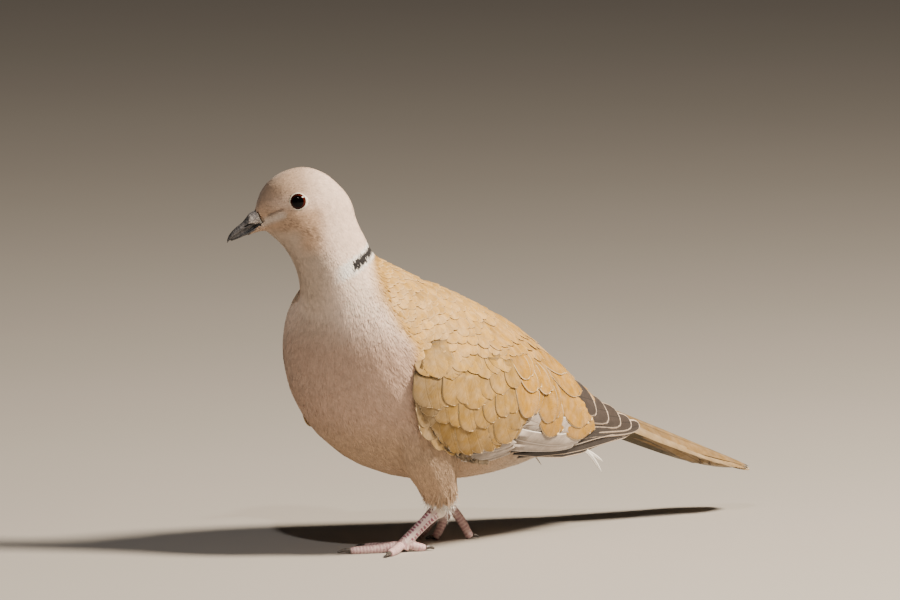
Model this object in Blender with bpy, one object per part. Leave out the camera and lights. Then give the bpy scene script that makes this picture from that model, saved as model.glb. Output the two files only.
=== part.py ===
"""A Eurasian collared dove at life size, standing in mid-stride with its head turned to its right.

Run it with: blender --background --python part.py

The model is in metres with +Z up. The bird faces -Y and its left side is at +X. It stands on
z = 0, and the origin is under the middle of its bounding box. The tables below are in
millimetres, measured from the point on the floor below the middle of the bird's body.
"""

import math

import bmesh
import bpy
import numpy as np
from mathutils import Matrix, Vector

MM = 0.001  # the tables' unit, in metres
GAP = 0.3  # clearance between neighbouring pieces
KNUCKLE_GAP = 0.35  # clearance where the toes leave the foot

# Head and neck: the neck twists about an upright line, so that the head looks to the right.
HEAD_YAW = -34.0  # degrees
TWIST_Y = -35.0  # where that upright line stands
BODY_SEGMENTS = 24
BILL_SEGMENTS = 12
RINGS_PER_STATION = 2
SHARP_ANGLE = 40  # degrees
WELD = 0.01  # distance at which a tube's caps join its sides

# The body from the tail's root to the crown. A ring runs from a point on the back, across the
# bird, to a point on the belly, breast or throat: (back y, back z, front y, front z, half width,
# share of the twist).
BODY_STATIONS = (
    (106, 48.5, 105, 46.0, 3.0, 0.0),
    (96, 54.5, 92, 40.0, 10.0, 0.0),
    (82, 67.0, 72, 32.0, 19.0, 0.0),
    (62, 82.0, 44, 27.5, 27.0, 0.0),
    (40, 95.5, 18, 27.0, 32.5, 0.0),
    (20, 105.0, -6, 30.5, 35.5, 0.0),
    (4, 113.0, -25, 38.0, 36.3, 0.0),
    (-8, 118.2, -40, 50.0, 35.6, 0.0),
    (-15, 121.2, -48.8, 66.0, 32.8, 0.0),
    (-19.8, 123.2, -51.2, 84.0, 27.6, 0.0),
    (-22.2, 124.8, -49.6, 98.5, 20.4, 0.12),
    (-23.6, 127.2, -51.0, 108.5, 16.8, 0.33),
    (-25.0, 130.9, -53.5, 117.6, 14.8, 0.62),
    (-27, 134.8, -56.5, 124.0, 13.8, 0.85),
    (-28.8, 139.5, -60.3, 129.0, 13.2, 1.0),
    (-29.8, 144.0, -66.5, 134.5, 13.1, 1.0),
    (-32, 148.3, -70.0, 140.0, 13.0, 1.0),
    (-35.2, 152.0, -69.6, 146.0, 12.2, 1.0),
    (-39.8, 156.2, -66.3, 152.6, 9.9, 1.0),
    (-44.8, 158.8, -60.0, 157.6, 6.0, 1.0),
    (-49.0, 159.9, -53.0, 159.8, 1.6, 1.0),
)
NECK_FROM, HEAD_FROM = 10.0, 13.6  # stations at which the body is parted
HALF_CUT = 0.025  # of a station, about half the gap
WIDEST = 0.48  # how far up a ring its widest point lies

# Bill, in the head's own plane: (y, top z, bottom z, half width).
UPPER_BILL = (
    (-67.5, 143.0, 137.6, 3.1),
    (-71.0, 141.8, 136.0, 3.0),
    (-73.4, 140.2, 134.9, 2.8),
    (-75.4, 137.8, 133.8, 2.2),
    (-77.6, 136.1, 132.5, 2.1),
    (-79.6, 134.3, 131.2, 1.8),
    (-81.2, 132.2, 129.9, 1.2),
    (-81.9, 130.4, 129.2, 0.5),
)
LOWER_BILL = (
    (-66.0, 137.7, 134.4, 2.7),
    (-70.0, 136.1, 133.8, 2.5),
    (-74.0, 134.1, 132.2, 2.0),
    (-77.5, 132.1, 130.9, 1.7),
    (-80.0, 130.6, 129.9, 0.9),
)

EYE_RADIUS = 4.8
EYE_PLACE = (9.0, -53.8, 146.7)  # in the head's own plane

# Folded wing, left side: (y, then x and z of its upper edge, its fullest line and its lower edge,
# then its thickness).
WING_STATIONS = (
    (-27, 34.6, 80, 35.4, 75, 34.6, 69, 1.5),
    (-24.5, 31.0, 89.5, 37.2, 78, 35.8, 61, 4.0),
    (-18, 23.5, 103, 39.7, 80.5, 35.4, 52, 6.0),
    (-8, 15.5, 112, 41.5, 82, 34.6, 43, 7.0),
    (8, 9.5, 110.5, 41.5, 80, 33.0, 36.5, 7.5),
    (28, 7.0, 102.8, 39.5, 74.5, 30.0, 34.5, 7.5),
    (50, 6.5, 92.8, 34.5, 66.5, 26.5, 34.0, 6.5),
    (74, 6.5, 77.6, 26.5, 56, 22.5, 34.0, 4.8),
    (96, 7.0, 61.2, 19.8, 48, 18.2, 34.5, 3.0),
    (115, 8.0, 51.2, 15.7, 43.4, 15.0, 36.5, 2.0),
    (125.5, 8.3, 46.6, 12.4, 41.6, 11.5, 38.3, 1.2),
    (129.5, 8.7, 43.6, 10.0, 41.6, 9.6, 39.8, 0.7),
)
WING_PARTED = 7.45  # the station where the flight feathers' tips leave the shield of coverts
WING_HALF_CUT = 0.007
ARC_STEPS = 10
THIN_EDGE = 0.8  # how thick a wing or the tail is at its edges

# Tail: (y, z of its ridge, half width, how far its sides hang below the ridge, thickness).
TAIL_STATIONS = (
    (74, 66.5, 11.0, 4.0, 6.0),
    (92, 59.7, 12.5, 7.2, 5.0),
    (120, 49.0, 12.8, 9.0, 3.4),
    (150, 37.8, 12.6, 8.4, 2.4),
    (170, 30.2, 12.0, 6.8, 1.8),
    (185, 24.4, 10.4, 4.7, 1.4),
    (193, 21.3, 7.8, 3.0, 1.1),
    (197.4, 19.6, 4.6, 1.3, 0.9),
    (199.0, 18.9, 2.0, 0.3, 0.8),
)

# Legs: (x, y, z, radius) along each limb.
LEFT_THIGH = (
    (22, -12, 58, 14),
    (21.5, -8, 44, 12.8),
    (20, 0, 31, 9.6),
    (18, 4.0, 22.0, 5.8),
    (17, 4.7, 18.2, 3.5),
)
LEFT_SHANK = (
    (17.1, 5.0, 17.6, 2.9),
    (16.2, 3.4, 16.0, 3.0),
    (14.6, 0.4, 12.9, 2.5),
    (12.0, -4.6, 7.6, 2.3),
    (10.4, -8.6, 3.6, 2.6),
    (10, -9.7, 1.3, 2.9),
)
RIGHT_THIGH = (
    (-22, 2, 60, 14),
    (-22.5, 8, 50, 12.5),
    (-22, 14, 42.5, 9.2),
    (-20.5, 18.6, 36.5, 5.6),
    (-19.4, 20.8, 33.2, 3.5),
)
RIGHT_SHANK = (
    (-19, 21.6, 32.4, 2.9),
    (-18.4, 22.6, 31.0, 3.0),
    (-16.6, 25.4, 27.6, 2.5),
    (-12.8, 30.8, 20.4, 2.3),
    (-10.4, 34.0, 16.4, 2.6),
    (-10, 34.5, 15.6, 2.8),
)
# Toes: the points along each, then its claw's tip.
LEFT_TOES = {
    "middle": ((8.9, -12.3, 2.8), (6.2, -18.2, 1.7), (0.6, -30.0, 1.35), (-1.7, -34.9, 0.9)),
    "inner": ((8.0, -10.6, 2.7), (2.5, -12.8, 1.7), (-5.6, -15.6, 1.35), (-10.2, -17.2, 0.9)),
    "outer": ((11.4, -12.0, 2.8), (14.0, -16.8, 1.8), (18.8, -25.0, 1.35), (21.2, -29.2, 0.9)),
    "hind": ((11.1, -7.4, 3.2), (12.8, -4.0, 1.9), (14.2, -0.6, 1.3), (15.6, 3.2, 0.8)),
}
RIGHT_TOES = {
    "middle": ((-10.0, 34.2, 12.6), (-10.2, 32.6, 6.5), (-10.6, 29.0, 0.7), (-11.4, 24.6, 0.9)),
    "inner": ((-8.7, 36.0, 13.6), (-5.8, 39.4, 7.6), (-3.4, 42.2, 0.6), (-1.2, 45.0, 0.8)),
    "outer": ((-11.8, 33.2, 13.0), (-15.4, 31.0, 6.6), (-18.4, 27.0, 0.8), (-20.6, 23.2, 0.9)),
    "hind": ((-10.2, 37.0, 15.6), (-13.0, 38.9, 11.4), (-14.6, 38.8, 7.2), (-15.0, 37.6, 3.2)),
}
TOE_RADIUS = 1.85
TOE_TAPER = 0.85  # a toe's radius at its claw, as a share
CLAW_RADIUS = 0.85
CLAW_TIP_RADIUS = 0.25
CLAW_TAPER = 0.75  # its radius at the middle, as a share
CLAW_ROOT_LIFT = 1.4  # its root's height over the floor, in its own radii
CLAW_ARCH = 0.5  # how far a claw's middle rises over the line from its root to its tip
LIMB_POINTS, CLAW_POINTS = 8, 6  # rings along a tube

COLOURS = {
    "plumage_pink": (0.56, 0.44, 0.38, 1.0),
    "plumage_sand": (0.52, 0.38, 0.23, 1.0),
    "flight_dark": (0.12, 0.09, 0.08, 1.0),
    "bill_horn": (0.07, 0.07, 0.08, 1.0),
    "eye": (0.08, 0.01, 0.01, 1.0),
    "leg_skin": (0.42, 0.16, 0.20, 1.0),
    "claw_horn": (0.08, 0.07, 0.06, 1.0),
}
ROUGHNESS = {"eye": 0.05, "bill_horn": 0.4, "leg_skin": 0.5, "claw_horn": 0.4}


def cleared_scene():
    """Empties the scene and returns the collections for the bird and for its cutters."""
    for obj in list(bpy.data.objects):
        bpy.data.objects.remove(obj)
    bird = bpy.data.collections.new("collared_dove")
    cutters = bpy.data.collections.new("cutters")
    for collection in (bird, cutters):
        bpy.context.scene.collection.children.link(collection)
    cutters.hide_render = True
    return bird, cutters


def material(slot):
    """The material of that name, made once."""
    found = bpy.data.materials.get(slot)
    if found:
        return found
    made = bpy.data.materials.new(slot)
    made.use_nodes = True
    shader = made.node_tree.nodes["Principled BSDF"]
    shader.inputs["Base Color"].default_value = COLOURS[slot]
    shader.inputs["Roughness"].default_value = ROUGHNESS.get(slot, 0.85)
    return made


def smooth_value(table, at):
    """A row of the table at a fractional place, along a Catmull-Rom curve through its rows."""
    rows = np.asarray(table, float)
    last = len(rows) - 1
    low = min(int(at), last - 1)
    share = at - low
    before, start, end, after = (rows[min(max(low + k, 0), last)] for k in (-1, 0, 1, 2))
    return 0.5 * (
        2 * start
        + (end - before) * share
        + (2 * before - 5 * start + 4 * end - after) * share**2
        + (3 * start - before - 3 * end + after) * share**3
    )


def twisted(points, share):
    """Points turned about the neck's upright line by a share of the head's yaw."""
    pivot = Vector((0, TWIST_Y, 0))
    turn = Matrix.Rotation(math.radians(HEAD_YAW) * share, 3, "Z")
    return [pivot + turn @ (Vector(p) - pivot) for p in points]


def oval(back, front, half_width, segments, widest=WIDEST):
    """A flat oval ring through two points of the bird's middle plane."""
    back, front = Vector((0, *back)), Vector((0, *front))
    height = (back - front).length
    up = (back - front).normalized()
    middle = front + up * height * widest
    points = []
    for k in range(segments):
        angle = 2 * math.pi * k / segments
        rise = math.sin(angle)
        reach = height * ((1 - widest) if rise > 0 else widest)
        points.append(middle + up * rise * reach + Vector((half_width * math.cos(angle), 0, 0)))
    return points


def body_ring(at):
    """The body's ring at a fractional station."""
    back_y, back_z, front_y, front_z, half_width, twist = smooth_value(BODY_STATIONS, at)
    return twisted(oval((back_y, back_z), (front_y, front_z), half_width, BODY_SEGMENTS), twist)


def arc_ring(upper, fullest, lower, thickness, y):
    """A closed ring in the plane of that y: an arc through three (x, z) points, and its inner side."""
    upper, fullest, lower = Vector(upper), Vector(fullest), Vector(lower)
    chord = lower - upper
    centre = fullest + Vector((chord.y, -chord.x))
    outer, inner = [], []
    for k in range(ARC_STEPS + 1):
        v = k / ARC_STEPS
        bulge = 4 * v * (1 - v)
        place = upper * (1 - v) + lower * v + (fullest - (upper + lower) / 2) * bulge
        depth = max(thickness * bulge**0.5, min(thickness, THIN_EDGE))
        outer.append(place)
        inner.append(place + (centre - place).normalized() * depth)
    return [Vector((p.x, y, p.y)) for p in outer + inner[::-1]]


def loft(name, rings, slot, collection):
    """A closed mesh through rings of equally many points, with a flat cap at each end."""
    mesh = bmesh.new()
    rows = [[mesh.verts.new(Vector(p) * MM) for p in ring] for ring in rings]
    count = len(rows[0])
    for first, second in zip(rows, rows[1:]):
        for k in range(count):
            corner = (k + 1) % count
            mesh.faces.new((first[k], first[corner], second[corner], second[k]))
    for row in (rows[0], rows[-1]):
        for k in range(count // 2 - 1):
            mesh.faces.new((row[k], row[k + 1], row[-2 - k], row[-1 - k]))
    bmesh.ops.triangulate(mesh, faces=mesh.faces[:])
    bmesh.ops.recalc_face_normals(mesh, faces=mesh.faces[:])
    return placed(name, mesh, slot, collection)


def placed(name, mesh, slot, collection):
    """Makes an object of a bmesh, in that collection, with smooth shading."""
    data = bpy.data.meshes.new(name)
    mesh.to_mesh(data)
    mesh.free()
    data.shade_smooth()
    data.set_sharp_from_angle(angle=math.radians(SHARP_ANGLE))
    obj = bpy.data.objects.new(name, data)
    obj.data.materials.append(material(slot))
    collection.objects.link(obj)
    return obj


def places_between(start, end):
    """Fractional places from start to end, both included, about evenly spaced."""
    steps = max(1, round((end - start) * RINGS_PER_STATION))
    return [start + (end - start) * k / steps for k in range(steps + 1)]


def cutter_from(obj, name, cutters, clearance=GAP):
    """A copy of the object grown by the clearance, kept out of the render."""
    cutter = bpy.data.objects.new(name, obj.data.copy())
    cutter.hide_render = True
    cutter.display_type = "WIRE"
    cutters.objects.link(cutter)
    grow = cutter.modifiers.new("grow", "DISPLACE")
    grow.strength = clearance * MM
    grow.mid_level = 0.0
    return cutter


def carve(obj, *cutters):
    """Takes the cutters' space out of the object."""
    for cutter in cutters:
        cut = obj.modifiers.new("carve_" + cutter.name, "BOOLEAN")
        cut.operation = "DIFFERENCE"
        cut.object = cutter


def tube(name, points, radii, slot, collection, rings=LIMB_POINTS):
    """A closed mesh tube along a smooth curve through the points, with a radius at each."""
    curve = bpy.data.curves.new(name, "CURVE")
    curve.dimensions = "3D"
    curve.bevel_depth = MM
    curve.bevel_resolution = 2
    curve.use_fill_caps = True
    spline = curve.splines.new("POLY")
    table = [(*p, r) for p, r in zip(points, radii)]
    spline.points.add(rings - 1)
    for k, point in enumerate(spline.points):
        x, y, z, radius = smooth_value(table, k * (len(table) - 1) / (rings - 1))
        point.co = (x * MM, y * MM, z * MM, 1.0)
        point.radius = radius
    guide = bpy.data.objects.new(name + "_line", curve)
    collection.objects.link(guide)
    graph = bpy.context.evaluated_depsgraph_get()
    data = bpy.data.meshes.new_from_object(guide.evaluated_get(graph))
    bpy.data.objects.remove(guide)
    mesh = bmesh.new()
    mesh.from_mesh(data)
    bpy.data.meshes.remove(data)
    bmesh.ops.remove_doubles(mesh, verts=mesh.verts[:], dist=WELD * MM)
    bmesh.ops.recalc_face_normals(mesh, faces=mesh.faces[:])
    return placed(name, mesh, slot, collection)


def flattened_at_floor(obj):
    """Slices off what lies below z = 0, which leaves a small flat to stand on."""
    mesh = bmesh.new()
    mesh.from_mesh(obj.data)
    everything = mesh.verts[:] + mesh.edges[:] + mesh.faces[:]
    cut = bmesh.ops.bisect_plane(
        mesh, geom=everything, plane_co=(0, 0, 0), plane_no=(0, 0, -1), clear_outer=True
    )
    rim = [e for e in cut["geom_cut"] if isinstance(e, bmesh.types.BMEdge)]
    if rim:
        bmesh.ops.contextual_create(mesh, geom=rim)
    bmesh.ops.triangulate(mesh, faces=mesh.faces[:])
    mesh.to_mesh(obj.data)
    mesh.free()


def body_pieces(bird, cutters):
    """Trunk, neck and head, parted by thin cuts, and a cutter with the shape of the whole."""
    last = len(BODY_STATIONS) - 1
    spans = {
        "trunk": (0, NECK_FROM - HALF_CUT),
        "neck": (NECK_FROM + HALF_CUT, HEAD_FROM - HALF_CUT),
        "head": (HEAD_FROM + HALF_CUT, last),
    }
    pieces = {}
    for name, (start, end) in spans.items():
        rings = [body_ring(at) for at in places_between(start, end)]
        pieces[name] = loft(name, rings, "plumage_pink", bird)
    rings = [body_ring(at) for at in places_between(0, last)]
    whole = loft("whole_body", rings, "plumage_pink", cutters)
    shell = cutter_from(whole, "body_space", cutters)
    bpy.data.objects.remove(whole)
    return pieces, shell


def bill_half(name, stations, bird, shell):
    """The upper or the lower half of the bill, cut off at the head."""
    rings = []
    for at in places_between(0, len(stations) - 1):
        y, top, bottom, half_width = smooth_value(stations, at)
        rings.append(twisted(oval((y, top), (y, bottom), half_width, BILL_SEGMENTS, 0.5), 1.0))
    obj = loft(name, rings, "bill_horn", bird)
    carve(obj, shell)
    return obj


def eye(side, bird, cutters, head):
    """One eye, and its socket in the head."""
    x, y, z = EYE_PLACE
    centre = twisted([(x * side, y, z)], 1.0)[0] * MM
    word = "left" if side > 0 else "right"
    for name, radius, collection in (
        (word + "_eye", EYE_RADIUS, bird),
        (word + "_socket", EYE_RADIUS + GAP, cutters),
    ):
        mesh = bmesh.new()
        place = Matrix.Translation(centre)
        bmesh.ops.create_icosphere(mesh, subdivisions=3, radius=radius * MM, matrix=place)
        ball = placed(name, mesh, "eye", collection)
    ball.hide_render = True
    ball.display_type = "WIRE"
    carve(head, ball)


def wing(side, bird, shells):
    """A folded wing in two nodes: its shield of coverts, and the flight feathers' tips."""
    word = "left" if side > 0 else "right"
    last = len(WING_STATIONS) - 1
    spans = {
        word + "_wing": (0, WING_PARTED - WING_HALF_CUT, "plumage_sand"),
        word + "_primaries": (WING_PARTED + WING_HALF_CUT, last, "flight_dark"),
    }
    for name, (start, end, slot) in spans.items():
        rings = []
        for at in places_between(start, end):
            y, *arc, thickness = smooth_value(WING_STATIONS, at)
            points = arc_ring(arc[0:2], arc[2:4], arc[4:6], thickness, y)
            rings.append([Vector((p.x * side, p.y, p.z)) for p in points])
        carve(loft(name, rings, slot, bird), *shells)


def tail(bird, cutters, shell):
    """The tail, roofed over its middle feathers, and a cutter with its shape."""
    rings = []
    for at in places_between(0, len(TAIL_STATIONS) - 1):
        y, ridge, half_width, hang, thickness = smooth_value(TAIL_STATIONS, at)
        edge = ridge - hang
        rings.append(arc_ring((-half_width, edge), (0, ridge), (half_width, edge), thickness, y))
    obj = loft("tail", rings, "plumage_sand", bird)
    space = cutter_from(obj, "tail_space", cutters)
    carve(obj, shell)
    return space


def limb(name, stations, slot, collection):
    """A thigh or a shank, from its rows of places and radii."""
    return tube(name, [s[:3] for s in stations], [s[3] for s in stations], slot, collection)


def toe(name, points, bird, cutters, taken):
    """A toe with its claw. It is cut off where it meets the knuckle and the toes before it."""
    *joints, claw_tip = points
    digit = tube(name, joints, (TOE_RADIUS, TOE_RADIUS, TOE_RADIUS * TOE_TAPER), "leg_skin", bird)
    flattened_at_floor(digit)
    carve(digit, *taken)
    space = cutter_from(digit, name + "_space", cutters)
    taken.append(space)
    root, tip = Vector(joints[-1]), Vector(claw_tip)
    root.z = max(root.z, CLAW_RADIUS * CLAW_ROOT_LIFT)
    middle = (root + tip) / 2 + Vector((0, 0, CLAW_ARCH))
    radii = (CLAW_RADIUS, CLAW_RADIUS * CLAW_TAPER, CLAW_TIP_RADIUS)
    claw = tube(name + "_claw", (root, middle, tip), radii, "claw_horn", bird, CLAW_POINTS)
    carve(claw, space)


def leg(word, thigh, shank, toes, bird, cutters, shell):
    """Thigh, shank and toes of one side, and a cutter with the thigh's shape."""
    upper = limb(word + "_thigh", thigh, "plumage_pink", bird)
    lower = limb(word + "_shank", shank, "leg_skin", bird)
    flattened_at_floor(lower)
    carve(upper, shell, cutter_from(lower, word + "_shank_space", cutters))
    carve(lower, shell)
    taken = [cutter_from(lower, word + "_knuckle_space", cutters, KNUCKLE_GAP)]
    for name, points in toes.items():
        toe(f"{word}_{name}_toe", points, bird, cutters, taken)
    return cutter_from(upper, word + "_thigh_space", cutters)


def lowest_and_highest(objects):
    """The corners of the box round the objects, as their modifiers leave them."""
    graph = bpy.context.evaluated_depsgraph_get()
    corners = [o.matrix_world @ Vector(c) for o in objects for c in o.evaluated_get(graph).bound_box]
    return Vector(map(min, zip(*corners))), Vector(map(max, zip(*corners)))


def centre_on_origin(bird, cutters):
    """Moves the bird so that the origin is under the middle of its box."""
    low, high = lowest_and_highest(bird.objects)
    for obj in [*bird.objects, *cutters.objects]:
        obj.location -= Vector(((low.x + high.x) / 2, (low.y + high.y) / 2, 0))


def main():
    bird, cutters = cleared_scene()
    pieces, shell = body_pieces(bird, cutters)
    bill_half("upper_bill", UPPER_BILL, bird, shell)
    bill_half("lower_bill", LOWER_BILL, bird, shell)
    for side in (1, -1):
        eye(side, bird, cutters, pieces["head"])
    tail_space = tail(bird, cutters, shell)
    thighs = {
        1: leg("left", LEFT_THIGH, LEFT_SHANK, LEFT_TOES, bird, cutters, shell),
        -1: leg("right", RIGHT_THIGH, RIGHT_SHANK, RIGHT_TOES, bird, cutters, shell),
    }
    for side in (1, -1):
        wing(side, bird, (shell, tail_space, thighs[side]))
    centre_on_origin(bird, cutters)


main()
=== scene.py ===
import math

import bmesh
import bpy
import numpy as np
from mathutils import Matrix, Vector
from mathutils.bvhtree import BVHTree
from mathutils.kdtree import KDTree

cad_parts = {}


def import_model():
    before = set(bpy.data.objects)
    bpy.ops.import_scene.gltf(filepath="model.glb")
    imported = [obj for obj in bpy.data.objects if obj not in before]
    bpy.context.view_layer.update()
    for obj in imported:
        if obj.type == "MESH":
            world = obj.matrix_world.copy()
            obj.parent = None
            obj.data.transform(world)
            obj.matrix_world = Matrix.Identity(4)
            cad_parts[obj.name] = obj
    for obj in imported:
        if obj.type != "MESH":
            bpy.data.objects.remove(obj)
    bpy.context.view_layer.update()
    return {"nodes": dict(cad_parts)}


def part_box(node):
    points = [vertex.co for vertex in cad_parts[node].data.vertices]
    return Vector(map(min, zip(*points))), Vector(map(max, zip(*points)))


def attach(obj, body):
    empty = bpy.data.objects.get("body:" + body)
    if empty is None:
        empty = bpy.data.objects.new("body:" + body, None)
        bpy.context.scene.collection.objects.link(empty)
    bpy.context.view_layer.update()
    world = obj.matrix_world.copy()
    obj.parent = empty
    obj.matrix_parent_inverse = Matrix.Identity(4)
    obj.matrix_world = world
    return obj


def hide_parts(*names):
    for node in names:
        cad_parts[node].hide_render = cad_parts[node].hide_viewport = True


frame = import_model()
bpy.ops.object.select_all(action="DESELECT")

# A Eurasian collared dove, dressed in feathers. Everything below is in millimetres, measured from
# the point on the floor under the middle of its body. It faces -Y and its left side is at +X.
MM = 0.001
SIDES = ("left", "right")
TAIL_TIP_Y = 199.0
ORIGIN = np.array([0.0, TAIL_TIP_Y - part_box("tail")[1].y / MM, 0.0])

HEAD_YAW = math.radians(-34.0)  # the head looks to the bird's right
TWIST_Y = -35.0  # the neck twists about the upright line there
FLESH = ("head", "neck", "trunk", "left_thigh", "right_thigh")
WINGS = ("left_wing", "right_wing")
BILL = ("upper_bill", "lower_bill")
EYES = ("left_eye", "right_eye")

# The line that the coat follows, from the bill's root through head, neck and body to the tail.
SPINE = (
    (-19.2, -63.5, 138), (-8.4, -47.4, 146), (-1.5, -39.5, 128), (0, -37, 112), (0, -22, 88),
    (0, 15, 68), (0, 60, 56), (0, 92, 52), (0, 199, 19),
)
THIGH_LINES = (
    ((22, -10, 52), (21, -2, 36), (18, 4.3, 20)),
    ((-22, 4, 54), (-21.5, 15, 41), (-19.6, 20.4, 34)),
)
# Where the bare shanks come out of the feathers.
HEELS = {"left": (17.0, 5.6, 16.8), "right": (-19.2, 21.2, 31.5)}

# Colours, as linear red, green and blue.
PALETTE = {
    "crown": (0.47, 0.325, 0.225),
    "forehead": (0.44, 0.31, 0.23),
    # pale pinkish, made lighter as painted light on the back of the head
    "nape": (0.86, 0.65, 0.52),
    "cheek": (0.58, 0.39, 0.26),
    # darker than the pale chin and throat: painted shade under the head
    "throat": (0.60, 0.47, 0.37),
    # pale pink, made lighter as painted light on the side of the neck
    "neck": (0.98, 0.77, 0.63),
    "breast": (0.58, 0.40, 0.30),
    # darkened as painted shade on the underside
    "belly": (0.46, 0.32, 0.21),
    "vent": (0.58, 0.48, 0.38),
    "mantle": (0.54, 0.31, 0.075),
    "rump": (0.52, 0.39, 0.27),
    "white": (0.96, 0.92, 0.87),
    "collar": (0.016, 0.014, 0.015),
    "lore": (0.13, 0.085, 0.06),
    # painted shade, for the clefts between groups of cheek feathers
    "painted_cleft_shade": (0.30, 0.20, 0.13),
    "covert": (0.40, 0.23, 0.048),
    "covert_pale": (0.70, 0.56, 0.38),
    # grey-brown, darkened as painted shade at the front and bottom of the wing
    "wrist": (0.21, 0.15, 0.085),
    "tertial": (0.46, 0.235, 0.025),
    "fringe": (0.86, 0.64, 0.36),
    "silver": (0.52, 0.43, 0.36),
    "silver_edge": (0.86, 0.80, 0.74),
    "flight": (0.052, 0.037, 0.030),
    "flight_edge": (0.78, 0.62, 0.48),
    "tail_sand": (0.27, 0.16, 0.055),
    "tail_grey": (0.35, 0.24, 0.12),
    "tail_under": (0.125, 0.095, 0.05),
    "tail_white": (0.60, 0.48, 0.33),
}
COLOUR = {name: np.array(value) for name, value in PALETTE.items()}


# ---------------------------------------------------------------------------- small tools


def smoothstep(low, high, value):
    """0 below low, 1 above high, and an even ease between."""
    share = np.clip((np.asarray(value, float) - low) / (high - low), 0, 1)
    return share * share * (3 - 2 * share)


def mixed(first, second, share):
    """Rows of first turning into second by a share for each row."""
    share = np.asarray(share, float)[..., None]
    return first * (1 - share) + second * share


def unit(vectors):
    """Vectors of length one."""
    return vectors / np.maximum(np.linalg.norm(vectors, axis=-1, keepdims=True), 1e-9)


def turned(points, angle):
    """Points turned about the neck's upright line."""
    points = np.asarray(points, float)
    x, y = points[..., 0], points[..., 1] - TWIST_Y
    cos, sin = math.cos(angle), math.sin(angle)
    return np.stack([x * cos - y * sin, x * sin + y * cos + TWIST_Y, points[..., 2]], -1)


def in_head(points):
    """Points in the head's own frame, as if it looked straight ahead."""
    return turned(points, -HEAD_YAW)


def head_way(way):
    """A direction that is given in the head's own frame."""
    return turned(np.add(way, [0, TWIST_Y, 0]), HEAD_YAW) - [0, TWIST_Y, 0]


def edge_at(heights, line):
    """Where an edge lies at some heights: the edge is given as height and y."""
    return np.interp(heights, *zip(*line))


def between(table, row, column):
    """Values between the rows and columns of a table."""
    row = np.clip(row, 0, table.shape[0] - 1.001)
    column = np.clip(column, 0, table.shape[1] - 1.001)
    i, j = row.astype(int), column.astype(int)
    u, v = row - i, column - j
    value = (table[i, j] * (1 - u) + table[i + 1, j] * u) * (1 - v)
    return value + (table[i, j + 1] * (1 - u) + table[i + 1, j + 1] * u) * v


def in_batches(work, points):
    """What work gives for all the points, done a few thousand at a time."""
    return np.concatenate([work(points[start:start + 4000]) for start in range(0, len(points), 4000)])


def smooth_line(points, count):
    """Points and directions along a smooth curve through the given ones."""
    rows = np.asarray(points, float)
    last = len(rows) - 1
    place = np.linspace(0, last, count)
    low = np.minimum(place.astype(int), last - 1)
    t = (place - low)[:, None]
    before, start = rows[np.maximum(low - 1, 0)], rows[low]
    end, after = rows[low + 1], rows[np.minimum(low + 2, last)]
    curve = 0.5 * (
        2 * start
        + (end - before) * t
        + (2 * before - 5 * start + 4 * end - after) * t**2
        + (3 * start - before - 3 * end + after) * t**3
    )
    return curve, unit(np.gradient(curve, axis=0))


def mesh_object(name, points, faces, material, smooth=True):
    """A mesh object from points in millimetres and faces."""
    data = bpy.data.meshes.new(name)
    data.from_pydata(((points - ORIGIN) * MM).tolist(), [], faces)
    data.update()
    if smooth:
        data.shade_smooth()
    obj = bpy.data.objects.new(name, data)
    bpy.context.scene.collection.objects.link(obj)
    data.materials.append(material)
    return obj


def painted(obj, material):
    """Gives an object one material, in the place of what it had."""
    obj.data.materials.clear()
    obj.data.materials.append(material)


def write_colours(obj, name, colours):
    """Stores a colour for each point of an object."""
    attribute = obj.data.attributes.new(name, "FLOAT_COLOR", "POINT")
    with_alpha = np.concatenate([colours, np.ones((len(colours), 1))], 1)
    attribute.data.foreach_set("color", with_alpha.astype(np.float32).ravel())


def write_values(obj, name, rows):
    """Stores three numbers for each point of an object."""
    attribute = obj.data.attributes.new(name, "FLOAT_VECTOR", "POINT")
    attribute.data.foreach_set("vector", np.asarray(rows, np.float32).ravel())


def points_of(obj):
    """An object's points, in millimetres."""
    co = np.empty(len(obj.data.vertices) * 3, np.float32)
    obj.data.vertices.foreach_get("co", co)
    return co.reshape(-1, 3).astype(float) / MM + ORIGIN


def move_points(obj, points):
    """Puts an object's points at those places."""
    obj.data.vertices.foreach_set("co", ((points - ORIGIN) * MM).astype(np.float32).ravel())
    obj.data.update()


def point_normals(obj):
    """The direction straight out of a mesh at each of its points."""
    normals = np.empty(len(obj.data.vertices) * 3, np.float32)
    obj.data.vertices.foreach_get("normal", normals)
    return normals.reshape(-1, 3).astype(float)


def merged_copy(name, *groups):
    """One mesh with copies of groups of CAD nodes, their loose triangles merged, grown a little."""
    whole = bmesh.new()
    for nodes, grow in groups:
        part = bmesh.new()
        for node in nodes:
            part.from_mesh(frame["nodes"][node].data)
        bmesh.ops.remove_doubles(part, verts=part.verts[:], dist=0.001 * MM)
        part.normal_update()
        for vert in part.verts:
            vert.co += vert.normal * grow * MM
        data = bpy.data.meshes.new("part")
        part.to_mesh(data)
        part.free()
        whole.from_mesh(data)
        bpy.data.meshes.remove(data)
    data = bpy.data.meshes.new(name)
    whole.to_mesh(data)
    whole.free()
    obj = bpy.data.objects.new(name, data)
    bpy.context.scene.collection.objects.link(obj)
    return obj


def applied(obj, *modifiers):
    """Adds modifiers with their settings and applies them in turn."""
    bpy.context.view_layer.objects.active = obj
    for kind, settings in modifiers:
        modifier = obj.modifiers.new(kind.lower(), kind)
        for key, value in settings.items():
            setattr(modifier, key, value)
        bpy.ops.object.modifier_apply(modifier=modifier.name)
    return obj


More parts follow.
